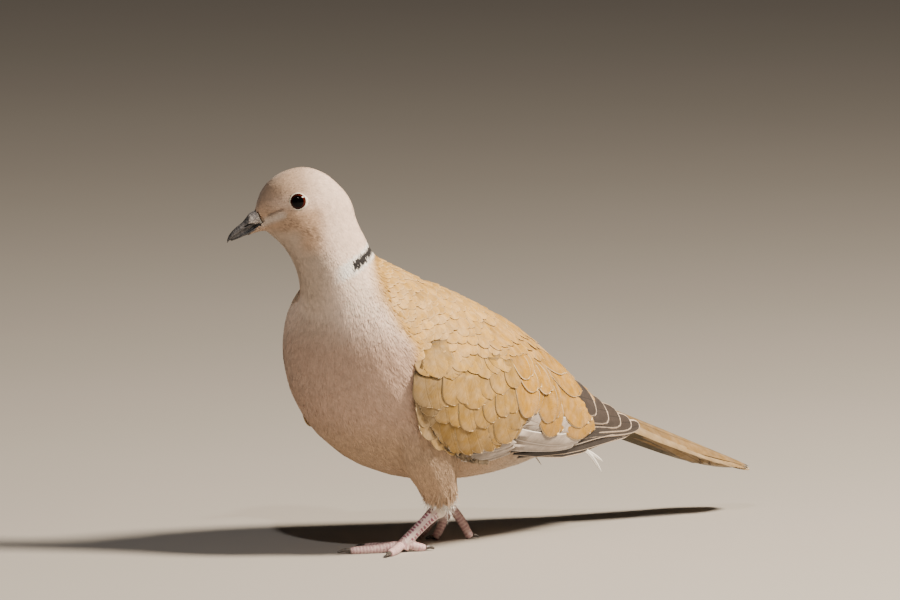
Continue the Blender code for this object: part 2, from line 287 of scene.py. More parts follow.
def remeshed(obj, voxel, smoothing):
    """The object as one even skin, its steps smoothed away."""
    return applied(
        obj,
        ("REMESH", {"mode": "VOXEL", "voxel_size": voxel * MM, "use_smooth_shade": True}),
        ("SMOOTH", {"factor": 0.5, "iterations": smoothing}),
    )


def tree_of(obj):
    """A search tree over a mesh, in millimetres."""
    points = points_of(obj)
    faces = [tuple(p.vertices) for p in obj.data.polygons]
    return BVHTree.FromPolygons([Vector(p) for p in points], faces)


def guide_tree(nodes, voxel=None, smoothing=0):
    """A search tree over copies of CAD nodes, made one even skin first where a voxel is given."""
    guide = merged_copy("guide", (nodes, 0.0))
    if voxel:
        remeshed(guide, voxel, smoothing)
    tree = tree_of(guide)
    bpy.data.objects.remove(guide)
    return tree


def settled(tree, points):
    """The nearest places on a surface, and its normals there."""
    found = [tree.find_nearest(p) for p in points.tolist()]
    return np.array([f[0] for f in found]), np.array([f[1] for f in found])


def box_of(node):
    """The lowest and highest corners of a CAD node, in millimetres."""
    return [np.array(corner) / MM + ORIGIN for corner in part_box(node)]


def finish_piece(obj, slot, *nodes):
    """Lets a piece ride on the bird and hides the CAD nodes it stands for. The slot is not used."""
    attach(obj, "root")
    if nodes:
        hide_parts(*nodes)


# ---------------------------------------------------------------------------- materials


class Nodes:
    """A short way to write a material's nodes."""

    def __init__(self, name):
        self.material = bpy.data.materials.new(name)
        self.material.use_nodes = True
        self.tree = self.material.node_tree
        self.shader = self.tree.nodes["Principled BSDF"]

    def add(self, kind, inputs=(), **settings):
        node = self.tree.nodes.new(kind)
        for key, value in settings.items():
            setattr(node, key, value)
        for key, value in dict(inputs).items():
            self.put(node.inputs[key], value)
        return node

    def put(self, socket, value):
        if isinstance(value, bpy.types.NodeSocket):
            self.tree.links.new(value, socket)
        else:
            socket.default_value = value

    def attribute(self, name, output="Vector"):
        return self.add("ShaderNodeAttribute", attribute_name=name).outputs[output]

    def parts(self, vector):
        return self.add("ShaderNodeSeparateXYZ", {"Vector": vector}).outputs

    def math(self, operation, *values):
        node = self.add("ShaderNodeMath", operation=operation)
        for socket, value in zip(node.inputs, values):
            self.put(socket, value)
        return node.outputs[0]

    def times(self, first, second):
        return self.math("MULTIPLY", first, second)

    def ramp(self, value, low, high, to_low=0.0, to_high=1.0):
        """A value from low to high turned into one from to_low to to_high, with an even ease."""
        inputs = {"Value": value, "From Min": low, "From Max": high, "To Min": to_low, "To Max": to_high}
        return self.add("ShaderNodeMapRange", inputs, interpolation_type="SMOOTHSTEP").outputs[0]

    def vector(self, x, y, z):
        return self.add("ShaderNodeCombineXYZ", {"X": x, "Y": y, "Z": z}).outputs[0]

    def noise(self, vector, scale, detail=3.0):
        inputs = {"Vector": vector, "Scale": scale, "Detail": detail, "Roughness": 0.6}
        return self.add("ShaderNodeTexNoise", inputs).outputs[0]

    def streaks(self, across, fineness, along, shortness, seed, detail=3.0):
        """Noise that is drawn out along a feather, or along the rays of the eye."""
        place = self.vector(self.times(across, fineness), self.times(along, shortness), seed)
        return self.noise(place, 1.0, detail)

    def grain(self, scale, detail=3.0):
        """Noise that fills the room in which the bird stands."""
        return self.noise(self.add("ShaderNodeTexCoord").outputs["Object"], scale, detail)

    def mix(self, share, first, second, blend="MIX"):
        node = self.add("ShaderNodeMix", data_type="RGBA", blend_type=blend)
        self.put(node.inputs["Factor"], share)
        self.put(node.inputs["A"], first)
        self.put(node.inputs["B"], second)
        return node.outputs["Result"]

    def shaded(self, colour, amount):
        """A colour made lighter or darker by an amount around one."""
        grey = self.add("ShaderNodeCombineColor", {"Red": amount, "Green": amount, "Blue": amount})
        return self.mix(1.0, colour, grey.outputs[0], "MULTIPLY")

    def bump(self, height, distance, strength=1.0):
        inputs = {"Height": height, "Distance": distance * MM, "Strength": strength}
        self.put(self.shader.inputs["Normal"], self.add("ShaderNodeBump", inputs).outputs[0])

    def finish(self, colour, roughness, **constants):
        self.put(self.shader.inputs["Base Color"], colour)
        self.put(self.shader.inputs["Roughness"], roughness)
        for key, value in constants.items():
            self.shader.inputs[key.replace("_", " ")].default_value = value
        return self.material


def plumage_material():
    """Soft contour feathers: their own colour, streaked finely along the barbs."""
    n = Nodes("soft_plumage")
    across, along, seed = n.parts(n.attribute("barb"))
    streak = n.streaks(across, 5.0, along, 0.35, seed)
    colour = n.shaded(n.attribute("pigment", "Color"), n.ramp(streak, 0.3, 0.7, 0.9, 1.07))
    colour = n.shaded(colour, n.ramp(n.grain(420.0, 4.0), 0.3, 0.7, 0.88, 1.07))
    n.bump(streak, 0.08, 0.4)
    return n.finish(colour, 0.78, Sheen_Weight=0.18, Sheen_Roughness=0.5, Specular_IOR_Level=0.25)


def vane_material():
    """Firm feathers: slanting barbs, a thin shaft and a paler fringe."""
    n = Nodes("firm_vanes")
    across, along, edge = n.parts(n.attribute("vane"))
    fringe, shaft, seed = n.parts(n.attribute("vane_finish"))
    side = n.math("ABSOLUTE", across)
    barb = n.math("SUBTRACT", along, n.times(side, 1.1))
    fine = n.streaks(barb, 2.6, side, 0.25, seed, 2.0)
    broad = n.streaks(across, 0.25, along, 0.12, seed, 2.0)
    body = n.shaded(n.attribute("pigment", "Color"), n.ramp(fine, 0.3, 0.7, 0.86, 1.1))
    body = n.shaded(body, n.ramp(broad, 0.3, 0.7, 0.84, 1.12))
    bloom = n.grain(240.0, 5.0)
    wash = {"Saturation": n.ramp(bloom, 0.3, 0.7, 1.05, 0.87), "Value": n.ramp(bloom, 0.3, 0.7, 0.93, 1.07)}
    body = n.add("ShaderNodeHueSaturation", {**wash, "Color": body}).outputs[0]
    ragged = n.math("ADD", edge, n.times(n.math("SUBTRACT", fine, 0.5), 0.5))
    rim = n.times(n.ramp(ragged, 0.55, 1.1, 1.0, 0.0), fringe)
    body = n.mix(rim, body, n.attribute("fringe_colour", "Color"))
    line = n.times(n.ramp(side, 0.1, 0.28, 1.0, 0.0), shaft)
    body = n.shaded(body, n.math("SUBTRACT", 1.0, line))
    height = n.math("ADD", fine, n.times(n.ramp(side, 0.05, 0.35, 1.0, 0.0), 1.5))
    n.bump(height, 0.06, 0.6)
    return n.finish(body, 0.62, Sheen_Weight=0.1, Sheen_Roughness=0.5, Specular_IOR_Level=0.3)


def skin_material():
    """The skin under the coat, in the coat's colours, darker as painted shade where it shows between the
    feathers.
    """
    n = Nodes("under_skin")
    grain = n.grain(900.0)
    colour = n.shaded(n.attribute("pigment", "Color"), n.ramp(grain, 0.3, 0.7, 0.82, 0.95))
    n.bump(grain, 0.15)
    return n.finish(colour, 0.9)


def bill_material():
    """Slate horn, with a scurfy pale cere at its root."""
    n = Nodes("bill_horn")
    cere, slit, _ = n.parts(n.attribute("bill"))
    grain, patches = n.grain(1400.0, 4.0), n.grain(420.0)
    horn = n.mix(n.ramp(grain, 0.35, 0.7), (0.035, 0.034, 0.038, 1), (0.12, 0.115, 0.118, 1))
    horn = n.mix(n.ramp(patches, 0.5, 0.7, 0.0, 0.5), horn, (0.22, 0.2, 0.2, 1))
    scurf = n.mix(n.ramp(grain, 0.4, 0.62), (0.20, 0.18, 0.18, 1), (0.66, 0.60, 0.56, 1))
    colour = n.mix(cere, horn, scurf)
    colour = n.mix(slit, colour, (0.006, 0.005, 0.005, 1))
    n.bump(grain, 0.12, 0.7)
    return n.finish(colour, n.ramp(grain, 0.3, 0.7, 0.35, 0.6))


def eye_material():
    """A dark pupil in a deep red iris under a clear, wet surface. The iris is lighter toward the rear: painted
    light.
    """
    n = Nodes("eye")
    reach, turn, painted_iris_light = n.parts(n.attribute("gaze"))
    rays = n.streaks(turn, 9.0, reach, 0.8, 0.0)
    iris = n.mix(n.ramp(rays, 0.3, 0.7), (0.03, 0.004, 0.002, 1), (0.10, 0.012, 0.005, 1))
    # The iris's red shows mostly toward the rear and fades to near black in front: painted light.
    iris = n.mix(painted_iris_light, (0.003, 0.001, 0.001, 1), iris)
    colour = n.mix(n.ramp(reach, 2.35, 2.5), (0.0008, 0.0008, 0.0008, 1), iris)
    colour = n.mix(n.ramp(reach, 2.95, 3.3), colour, (0.003, 0.001, 0.001, 1))
    return n.finish(colour, 0.1, Specular_IOR_Level=0.12)


def lid_material():
    """The bare cream ring of skin round the eye."""
    n = Nodes("eye_ring")
    grain = n.grain(1600.0)
    cream = n.mix(n.ramp(grain, 0.35, 0.65), (0.58, 0.52, 0.40, 1), (0.82, 0.76, 0.63, 1))
    bare = n.parts(n.attribute("lid"))[0]
    colour = n.mix(bare, (0.36, 0.25, 0.17, 1), cream)
    n.bump(grain, 0.08)
    return n.finish(colour, 0.5)


def leg_material():
    """Pale skin with mauve-red scutes, which wrap the toes as rings."""
    n = Nodes("leg_skin")
    along, turn, kind = n.parts(n.attribute("scute"))
    blotch = n.grain(700.0)
    along = n.math("ADD", along, n.times(blotch, 1.6))
    plate = n.ramp(n.math("SINE", n.times(along, 4.4)), -0.75, 0.0)
    side = n.ramp(n.math("SINE", n.times(turn, 4.0)), -0.7, 0.1)
    spots = n.times(n.times(plate, side), n.ramp(blotch, 0.36, 0.5))
    heel, on_toe = n.ramp(kind, 1.0, 2.0, 0.0, 1.0), n.ramp(kind, 0.0, -1.0, 0.0, 1.0)
    rings = n.times(n.times(plate, n.ramp(blotch, 0.35, 0.6, 0.2, 1.0)), 0.8)
    colour = n.mix(spots, (0.78, 0.62, 0.60, 1), (0.30, 0.10, 0.16, 1))
    colour = n.mix(on_toe, colour, n.mix(rings, (0.70, 0.52, 0.50, 1), (0.44, 0.22, 0.26, 1)))
    colour = n.mix(heel, colour, (0.80, 0.71, 0.62, 1))
    n.bump(n.math("ADD", plate, blotch), 0.12, 0.6)
    return n.finish(colour, n.ramp(kind, 0.0, 1.0, 0.45, 0.75))


def claw_material():
    """Dark horn, paler at the root."""
    n = Nodes("claw_horn")
    grain = n.grain(1200.0)
    colour = n.mix(n.ramp(grain, 0.35, 0.65), (0.03, 0.026, 0.024, 1), (0.10, 0.085, 0.075, 1))
    n.bump(grain, 0.05)
    return n.finish(colour, 0.35)


# ---------------------------------------------------------------------------- markings

# The black half-collar lies on a plane that slopes up to the rear and turns half way with the head.
COLLAR_TURN = HEAD_YAW * 0.5
COLLAR_RISE, COLLAR_HEIGHT = 0.52, 121.0
COLLAR_HALF, COLLAR_END = 1.6, -2.0  # half its width, and how far forward its ends reach
# Where the pink of the neck gives way to the sandy mantle, as height and y.
MANTLE_EDGE = ((60, -22), (72, -25.5), (88, -27), (95, -33), (107, -37), (117, -34.5), (125, -31))
# Marks on the face and painted shade in the cheek's clefts, as y and height in the head's own frame.
LORE_LINE = ((-65.4, 140.9), (-63.3, 142.2), (-60.4, 143.6))
PALE_STREAK = ((-67.0, 137.6), (-65.0, 139.0), (-60.6, 141.2))
CHEEK_CLEFT_SHADE = ((-59.1, 136.2), (-57.7, 138.8), (-52.0, 135.9), (-46.7, 132.5))


def from_line(y, z, line):
    """Distance in the side view from a line of points."""
    best = np.full(np.shape(y), 1e9)
    for (y0, z0), (y1, z1) in zip(line, line[1:]):
        length = (y1 - y0) ** 2 + (z1 - z0) ** 2
        share = np.clip(((y - y0) * (y1 - y0) + (z - z0) * (z1 - z0)) / length, 0, 1)
        gap = np.hypot(y - y0 - share * (y1 - y0), z - z0 - share * (z1 - z0))
        best = np.minimum(best, gap)
    return best


def body_tones(points):
    """Colours of breast, belly, vent, neck, mantle and rump."""
    y, z = points[:, 1], points[:, 2]
    # The lower body turns to the belly's colour, which is darkened as painted shade.
    tone = mixed(COLOUR["breast"], COLOUR["belly"], smoothstep(62, 40, z))
    tone = mixed(tone, COLOUR["vent"], smoothstep(25, 70, y) * smoothstep(70, 55, z))
    # The neck's side is lighter and its front darker than the plumage is: painted light on the side, painted
    # shade on the front.
    neck = mixed(COLOUR["neck"], COLOUR["throat"], smoothstep(-45, -52, y))
    tone = mixed(tone, neck, smoothstep(82, 104, z))
    behind = smoothstep(-3, 5, y - edge_at(z, MANTLE_EDGE))
    sandy = behind * smoothstep(1.0, -2.5, collar_height(points)) * smoothstep(52, 64, z)
    tone = mixed(tone, COLOUR["mantle"], sandy)
    return mixed(tone, COLOUR["rump"], sandy * smoothstep(45, 75, y))


def head_tones(hy, hz):
    """Colours of nape, crown, forehead, cheek and throat, in the head's own frame."""
    tone = mixed(COLOUR["nape"], COLOUR["crown"], smoothstep(-40, -56, hy) * smoothstep(143, 152, hz))
    tone = mixed(tone, COLOUR["forehead"], smoothstep(-62, -68, hy) * smoothstep(140, 146, hz))
    tone = mixed(tone, COLOUR["cheek"], smoothstep(148, 141, hz) * smoothstep(-40, -48, hy))
    # The throat's darker colour is painted shade under the chin.
    return mixed(tone, COLOUR["throat"], smoothstep(137, 131, hz) * smoothstep(-50, -56, hy))


def face_marked(tone, hx, hy, hz):
    """Adds the dark lore, the pale streak below it, and patchy painted shade in the clefts of the cheek's
    feathers.
    """
    lore = smoothstep(0.9, 0.0, from_line(hy, hz, LORE_LINE)) * (np.abs(hx) > 2.5)
    tone = mixed(tone, COLOUR["lore"], lore * 0.75)
    streak = smoothstep(2.7, 0.3, from_line(hy, hz, PALE_STREAK)) * (np.abs(hx) > 1.5)
    tone = mixed(tone, COLOUR["white"], streak * 0.4)
    # Painted shade in the clefts between groups of cheek feathers, in patches.
    painted_cleft_shade = smoothstep(3.6, 0.5, from_line(hy, hz, CHEEK_CLEFT_SHADE)) * (np.abs(hx) > 5)
    cleft_pattern = np.sin(hy * 2.3 + 1.7 * np.sin(hz * 1.9)) * np.sin(hz * 2.9 + 1.3 * np.sin(hy * 1.6))
    return mixed(tone, COLOUR["painted_cleft_shade"], painted_cleft_shade * smoothstep(-0.4, 0.6, cleft_pattern) * 0.85)


def markings(points):
    """The bird's colours at places on its body, shared by the skin and the coat."""
    hx, hy, hz = in_head(points).T
    tone = mixed(body_tones(points), head_tones(hy, hz), smoothstep(122, 130, points[:, 2]))
    for heel in HEELS.values():
        heel_gap = np.linalg.norm(points - heel, axis=1)
        tone = mixed(tone, COLOUR["white"] * 0.9, smoothstep(8.5, 6.0, heel_gap))
    return collared(points, face_marked(tone, hx, hy, hz))


def collar_height(points):
    """Height over the slanting plane in which the half-collar lies."""
    local = turned(points, -COLLAR_TURN)
    return local[:, 2] - COLLAR_HEIGHT - COLLAR_RISE * (local[:, 1] - TWIST_Y)


def collared(points, tone):
    """Adds the black half-collar, edged in white."""
    local = turned(points, -COLLAR_TURN)
    back = local[:, 1] - TWIST_Y
    gap = np.abs(collar_height(points))
    on_neck = (local[:, 2] > 112) * (local[:, 2] < 134)
    white = smoothstep(4.2, 2.2, gap) * smoothstep(COLLAR_END - 9, COLLAR_END - 3, back) * on_neck
    tone = mixed(tone, COLOUR["white"], white)
    black = smoothstep(COLLAR_HALF + 0.4, COLLAR_HALF, gap) * (back > COLLAR_END) * on_neck
    return mixed(tone, COLOUR["collar"], black)


# ---------------------------------------------------------------------------- the lie of the coat

SPINE_POINTS, SPINE_WAYS = smooth_line(SPINE, 90)
THIGH_SAMPLES = [smooth_line(line, 12) for line in THIGH_LINES]
LIE_POINTS = np.concatenate([SPINE_POINTS] + [places for places, _ in THIGH_SAMPLES])
LIE_WAYS = np.concatenate([SPINE_WAYS] + [ways for _, ways in THIGH_SAMPLES])
LIE_SPREAD = 8.0  # how far a stretch of the line is felt
SPINE_LENGTH = 300.0  # about, for the unwrap
BILL_ROOT = (-21.3, -66.5, 136.5)
# Where the feathers end at the bill, as height and y in the head's own frame.
BARE_EDGE = (
    (131, -74.0), (133, -72.6), (135, -70.5), (136.5, -67.6), (138.5, -67.2), (140.5, -68.8), (142.5, -71.0),
)
PATCH = 0.003  # the side of one feather's patch on the unwrap


def on_surface(ways, normals):
    """Directions laid flat on the surface."""
    return unit(ways - normals * (ways * normals).sum(1, keepdims=True))


def line_ways(points):
    """The way of the nearest stretches of the spine's and the thighs' lines."""
    gap = np.linalg.norm(points[:, None] - LIE_POINTS[None], axis=2)
    near = gap - gap.min(1, keepdims=True)
    return np.exp(-((near / LIE_SPREAD) ** 2)) @ LIE_WAYS


def lie(points, normals):
    """The way that feathers point at places on the body: along its line, and away from the bill."""
    # Near the bill they spread away from its root.
    off = points - BILL_ROOT
    share = np.exp(-np.linalg.norm(off, axis=1) / 9.0) * 3.0
    ways = unit(unit(in_batches(line_ways, points)) + unit(off) * share[:, None])
    x, y, z = points.T
    # On the folded wings they slope backward, and fall off to the side in front.
    back = smoothstep(-30, -5, y) * smoothstep(60, 75, z)
    downward = smoothstep(18, 34, np.abs(x)) * smoothstep(62, 30, y)
    falling = np.sign(x)[:, None] * [0.2, 0, 0] + [0, 0.4, -1]
    wing_way = unit(mixed(np.array([0, 1, -0.5]), falling, downward))
    return on_surface(mixed(ways, wing_way, back * smoothstep(15, 30, np.abs(x))), normals)


def unwrapped(points):
    """Places on the body's own unwrap: the turn round its line, and the way along it."""
    nearest = np.linalg.norm(points[:, None] - SPINE_POINTS[None], axis=2).argmin(1)
    way, off = SPINE_WAYS[nearest], points - SPINE_POINTS[nearest]
    side = unit(np.cross(way, [0.0, 0.0, 1.0]))
    up = np.cross(side, way)
    turn = np.arctan2((off * side).sum(1), (off * up).sum(1))
    share = nearest / len(SPINE_POINTS) + (off * way).sum(1) / SPINE_LENGTH
    return np.stack([0.5 + turn / (2 * math.pi) * 0.98, np.clip(share, 0.0, 0.98) + 0.01], 1)


def write_bake_map(obj, roots, offsets):
    """Gives each point of a coat a place on its root's own patch of the unwrap."""
    layer = obj.data.uv_layers.new(name="OFBake")
    uv = in_batches(unwrapped, roots) + (offsets - 0.5) * PATCH
    corners = np.empty(len(obj.data.loops), np.int32)
    obj.data.loops.foreach_get("vertex_index", corners)
    layer.data.foreach_set("uv", uv[corners].astype(np.float32).ravel())


# ---------------------------------------------------------------------------- skin and soft plumage


def coat_depth(points):
    """How thick the coat is over the skin."""
    return np.interp(points[:, 2], (20, 34, 60, 100, 125, 135, 160), (0.7, 1.6, 2.3, 1.7, 1.1, 0.7, 0.6))


def slim_face(obj):
    """Narrows the face toward the bill."""
    points = in_head(points_of(obj))
    share = smoothstep(-56.5, -68.5, points[:, 1]) * smoothstep(125, 133, points[:, 2])
    share *= smoothstep(154, 139, points[:, 2])
    points[:, 0] *= 1 - 0.30 * share * smoothstep(1.0, 7, np.abs(points[:, 0]))
    move_points(obj, turned(points, HEAD_YAW))


def make_skin(material):
    """One skin under the feathers of head, neck, body, thighs and wings."""
    flesh = merged_copy("flesh", (FLESH, 0.0))
    flesh_count = len(flesh.data.vertices)
    bpy.data.objects.remove(flesh)
    skin = merged_copy("skin", (FLESH, 0.0), (WINGS, 0.0))
    points = points_of(skin)
    # The wings are drawn in, because their feathers hang past the edges of the flesh.
    wing = points[flesh_count:]
    wing[:, 0] -= np.sign(wing[:, 0]) * 1.4
    wing[:, 2] += 7.0 * smoothstep(62, 34, wing[:, 2])
    wing[:, 1] += 3.5 * smoothstep(-8, -27, wing[:, 1])
    move_points(skin, points)
    slim_face(remeshed(skin, 1.0, 4))
    # It lies a little deeper than the coat, so that the roots of the feathers stand over it.
    points = points_of(skin)
    move_points(skin, points - point_normals(skin) * (coat_depth(points) + 0.3)[:, None])
    applied(skin, ("SMOOTH", {"factor": 0.5, "iterations": 3}))
    painted(skin, material)
    write_colours(skin, "pigment", markings(points_of(skin)))
    finish_piece(skin, "plumage_pink", *FLESH)


def seeds_on(obj, count, rng):
    """Places spread at random over a mesh."""
    points = points_of(obj)
    obj.data.calc_loop_triangles()
    corners = np.array([t.vertices[:] for t in obj.data.loop_triangles])
    a, b, c = points[corners[:, 0]], points[corners[:, 1]], points[corners[:, 2]]
    area = np.linalg.norm(np.cross(b - a, c - a), axis=1)
    chosen = rng.choice(len(area), count, p=area / area.sum())
    u, v = rng.random(count), rng.random(count)
    over = u + v > 1
    u[over], v[over] = 1 - u[over], 1 - v[over]
    return a[chosen] + (b - a)[chosen] * u[:, None] + (c - a)[chosen] * v[:, None]


def thinned(points, spacing):
    """Leaves out places so that the rest stand about the spacing apart."""
    tree = KDTree(len(points))
    for k, point in enumerate(points.tolist()):
        tree.insert(point, k)
    tree.balance()
    left = np.ones(len(points), bool)
    for k, point in enumerate(points.tolist()):
        if left[k]:
            for _, other, _ in tree.find_range(point, spacing[k]):
                if other != k:
                    left[other] = False
    return points[left]


# The soft feathers by height, from the heels to the crown.
COAT_HEIGHTS = (18, 30, 60, 95, 115, 128, 145)
COAT_LENGTHS = (8.0, 10.5, 12.0, 11.0, 7.5, 4.8, 4.0)
COAT_WIDTHS = (2.6, 5.0, 7.5, 7.0, 4.6, 2.8, 2.0)
COAT_SPACINGS = (0.9, 1.4, 1.85, 1.5, 1.05, 0.84, 0.74)


def face_share(points):
    """How far places belong to the face, where the feathers are smallest."""
    return smoothstep(-56, -66, in_head(points)[:, 1]) * smoothstep(128, 134, points[:, 2])


def plume_sizes(points):
    """Length and width of the soft feathers at places on the body."""
    length, width = (np.interp(points[:, 2], COAT_HEIGHTS, sizes) for sizes in (COAT_LENGTHS, COAT_WIDTHS))
    face = face_share(points)
    return length * (1 - 0.5 * face), width * (1 - 0.4 * face)


# A barb of a soft feather is a leaf on seven points: left, right and ridge at its root, the same
# half way, and the tip.
LEAF_FACES = ((0, 2, 5, 3), (2, 1, 4, 5), (1, 0, 3, 4), (3, 5, 6), (5, 4, 6), (4, 3, 6), (0, 1, 2))
LEAF_ACROSS = np.array([0.6, -0.6, 0, 1, -1, 0, 0])
LEAF_ALONG = np.array([0, 0, 0, 0.5, 0.5, 0.5, 1])
LEAF_SHADE = np.array([0.85, 0.85, 0.85, 0.96, 0.96, 0.98, 1.03])


def leaf_colours(root, middle, tip, leaves, rng):
    """The body's colours on each leaf, which vary a little and darken toward the root."""
    low = root[:, 2:]
    tone = markings(middle * 0.35 + tip * 0.65)
    chance = rng.normal(0, 1, (len(root) // leaves, 1)).repeat(leaves, 0) + rng.normal(0, 1, (len(root), 1))
    tone = tone * (1 + (0.025 + 0.065 * smoothstep(70, 42, low)) * chance)
    shade = LEAF_SHADE ** (1 + 2.5 * smoothstep(50, 35, low))
    return np.clip(tone[:, None] * shade[..., None], 0, 1).reshape(-1, 3)


def plumes(name, tree, seeds, material, leaves, rng):
    """Soft feathers, each a fan of ridged leaves that lies along the body."""
    seeds, normals = settled(tree, seeds)
    ways = lie(seeds, normals)
    sides = np.cross(normals, ways)
    length, width = (size[:, None] for size in plume_sizes(seeds))
    fan = (len(seeds), leaves)
    u = np.linspace(-1, 1, leaves)[None] + rng.normal(0, 0.08, fan)
    angle = u * 0.55 + rng.normal(0, 0.07, fan) + rng.normal(0, 0.1, (len(seeds), 1))
    fray = 0.12 + 0.14 * smoothstep(40, 22, seeds[:, 2:])
    reach = length * (1 - 0.22 * u**2) * (1 + rng.normal(0, 1, fan) * fray)
    way = ways[:, None] * np.cos(angle)[..., None] + sides[:, None] * np.sin(angle)[..., None]
    root = seeds[:, None] + sides[:, None] * (u * width * 0.14)[..., None]
    middle = root + way * (reach * 0.52)[..., None]
    tip = middle + unit(way + ways[:, None] * 0.5) * (reach * 0.48)[..., None]
    root, root_up = root.reshape(-1, 3), np.repeat(normals, leaves, 0)
    middle, middle_up = settled(tree, middle.reshape(-1, 3))
    straight = tip.reshape(-1, 3)
    tip, tip_up = settled(tree, straight)
    # Round the heels the tips hang free.
    heel_gap = np.min([np.linalg.norm(straight - heel, axis=1) for heel in HEELS.values()], axis=0)
    tip = mixed(tip, straight, smoothstep(15, 10, heel_gap) * smoothstep(4, 7, heel_gap) * 0.8)
    # On the neck and the head they lie closer.
    close = 1 - 0.3 * smoothstep(60, 85, root[:, 2]) - 0.15 * smoothstep(122, 134, root[:, 2])
    depth = coat_depth(root) * close
    half = (width / leaves * 0.95 * np.ones(fan)).reshape(-1)
    chance = rng.random(len(root))
    root = root - root_up * (depth * 0.8)[:, None]
    middle = middle - middle_up * (depth * (0.3 + 0.15 * chance))[:, None]
    height = root[:, 2]
    stir = np.interp(height, (60, 80, 134, 140), (0.14, 0.05, 0.05, 0.1)) + 0.7 * smoothstep(36, 22, height)
    tip = tip + tip_up * (stir * chance * close - 0.05)[:, None]
    ridge = (half * np.interp(height, (35, 60, 85, 134), (0.6, 0.34, 0.12, 0.07)) * close)[:, None]
    root_side = np.cross(root_up, unit(middle - root)) * half[:, None]
    side = np.cross(middle_up, unit(tip - middle)) * half[:, None]
    points = np.stack([root + root_side * 0.6, root - root_side * 0.6, root + root_up * ridge,
                       middle + side, middle - side, middle + middle_up * ridge, tip], 1)
    corners = points.shape[1]
    starts = range(0, len(root) * corners, corners)
    faces = [tuple(start + k for k in face) for start in starts for face in LEAF_FACES]
    obj = mesh_object(name, points.reshape(-1, 3), faces, material, smooth=False)
    write_colours(obj, "pigment", leaf_colours(root, middle, tip, leaves, rng))
    across, along = half[:, None] * LEAF_ACROSS, reach.reshape(-1, 1) * LEAF_ALONG
    number = np.repeat(rng.random(len(root))[:, None] * 50, corners, 1)
    write_values(obj, "barb", np.stack([across, along, number], 2))
    spread = np.stack([u.reshape(-1, 1) * 0.4 + 0.5 + across * 0.05, along / 14.0], 2)
    write_bake_map(obj, np.repeat(seeds, leaves * corners, 0), np.clip(spread.reshape(-1, 2), 0, 1))
    finish_piece(obj, "plumage_pink")


COVER_REACH = 14.0


def covered(points, normals, tree):
    """Which places have something of the tree straight above them, no farther than COVER_REACH."""
    rays = zip(points + normals * 0.2, normals)
    return np.array([tree.ray_cast(Vector(p), Vector(way), COVER_REACH)[0] is not None for p, way in rays])


# Feathers stand at least this far from the eye's axis. The bare ring is widest behind and below.
EYE_CLEARANCE = 3.95
RING_REAR = unit(head_way((0, 0.8, -1.0)))


def near_eye(points):
    """Which places lie near an eye, or just in front of it where feathers would grow over it."""
    close = np.zeros(len(points), bool)
    for word in SIDES:
        centre, axis, _ = eye_place(word)
        off = points - centre - head_way((0, -1.4, 0))
        along = off @ axis
        across = off - along[:, None] * axis
        wide = EYE_CLEARANCE + 0.6 * smoothstep(-0.2, 0.8, unit(across) @ RING_REAR)
        close |= (np.linalg.norm(across, axis=1) < wide) & (along > 0)
    return close


def on_bill(points):
    """Which places lie on the bare bill: the feathers reach farthest forward on the chin."""
    _, hy, hz = in_head(points).T
    return hy < edge_at(hz, BARE_EDGE)


# The soft coat's pieces from the top down: lowest and highest root, and leaves in a feather.
SOFT_COATS = (
    ("head_plumage", 134, 999, 4),
    ("neck_plumage", 106, 134, 5),
    ("breast_plumage", 66, 106, 7),
    ("belly_plumage", 40, 66, 7),
    ("vent_plumage", -999, 40, 7),
)


def make_soft_coat(material):
    """The soft feathers of head, neck, breast, belly and thighs."""
    rng = np.random.default_rng(7)
    form = merged_copy("form", (FLESH, 0.0), (BILL, 0.5), (EYES, -0.25))
    slim_face(remeshed(form, 0.9, 5))
    tree = tree_of(form)
    seeds = seeds_on(form, 230000, rng)
    bpy.data.objects.remove(form)
    spacing = np.interp(seeds[:, 2], COAT_HEIGHTS, COAT_SPACINGS) * (1 - 0.3 * face_share(seeds))
    seeds, normals = settled(tree, thinned(seeds, spacing))
    # None grow where they would be hidden by the wings, or under the firm feathers of the back.
    wings = guide_tree(WINGS)
    ahead = seeds + lie(seeds, normals) * (plume_sizes(seeds)[0] * 0.8)[:, None]
    hidden = covered(seeds, normals, wings) & covered(ahead, normals, wings)
    hidden &= (seeds[:, 2] < 100) & (seeds[:, 1] > -30)
    bare = near_eye(seeds) | on_bill(seeds) | (mantle_share(seeds) > 0.8)
    seeds = seeds[~(hidden | bare)]
    for name, low, high, leaves in SOFT_COATS:
        inside = (seeds[:, 2] > low) & (seeds[:, 2] <= high)
        plumes(name, tree, seeds[inside], material, leaves, rng)


# ---------------------------------------------------------------------------- firm feathers

VANE_T = np.array([0, 0.22, 0.42, 0.58, 0.7, 0.8, 0.88, 0.94, 0.975, 0.993, 1.0])
VANE_S = np.array([-1, -0.86, -0.5, 0, 0.5, 0.86, 1])
SMALL_T = np.array([0, 0.35, 0.62, 0.8, 0.91, 0.98, 1.0])
SMALL_S = np.array([-1, -0.75, -0.25, 0.25, 0.75, 1])


def outline(t, point, widest, root):
    """How wide a feather is along its length, as a share, with a rounded tip."""
    rise = root + (1 - root) * smoothstep(0, widest, t)
    over = np.clip((t - widest) / (1 - widest), 0, 1)
    return rise * (1 - over**point) ** (1 / point)


# What is kept for each point of the vanes. The first four differ from point to point of a vane.
VANE_PARTS = ("points", "pigment", "vane", "cell", "vane_finish", "fringe_colour", "root")
# What a vane looks like where its tract says nothing else.
VANE_LOOK = {"fringe": 0.8, "rim": 0.5, "shaft": 0.25, "camber": 0.25, "tilt": 0.3, "thick": 0.1,
             "point": 2.4, "widest": 0.6, "root": 0.7, "vary": 0.05, "sweep": 0.04, "fade": 0.82}


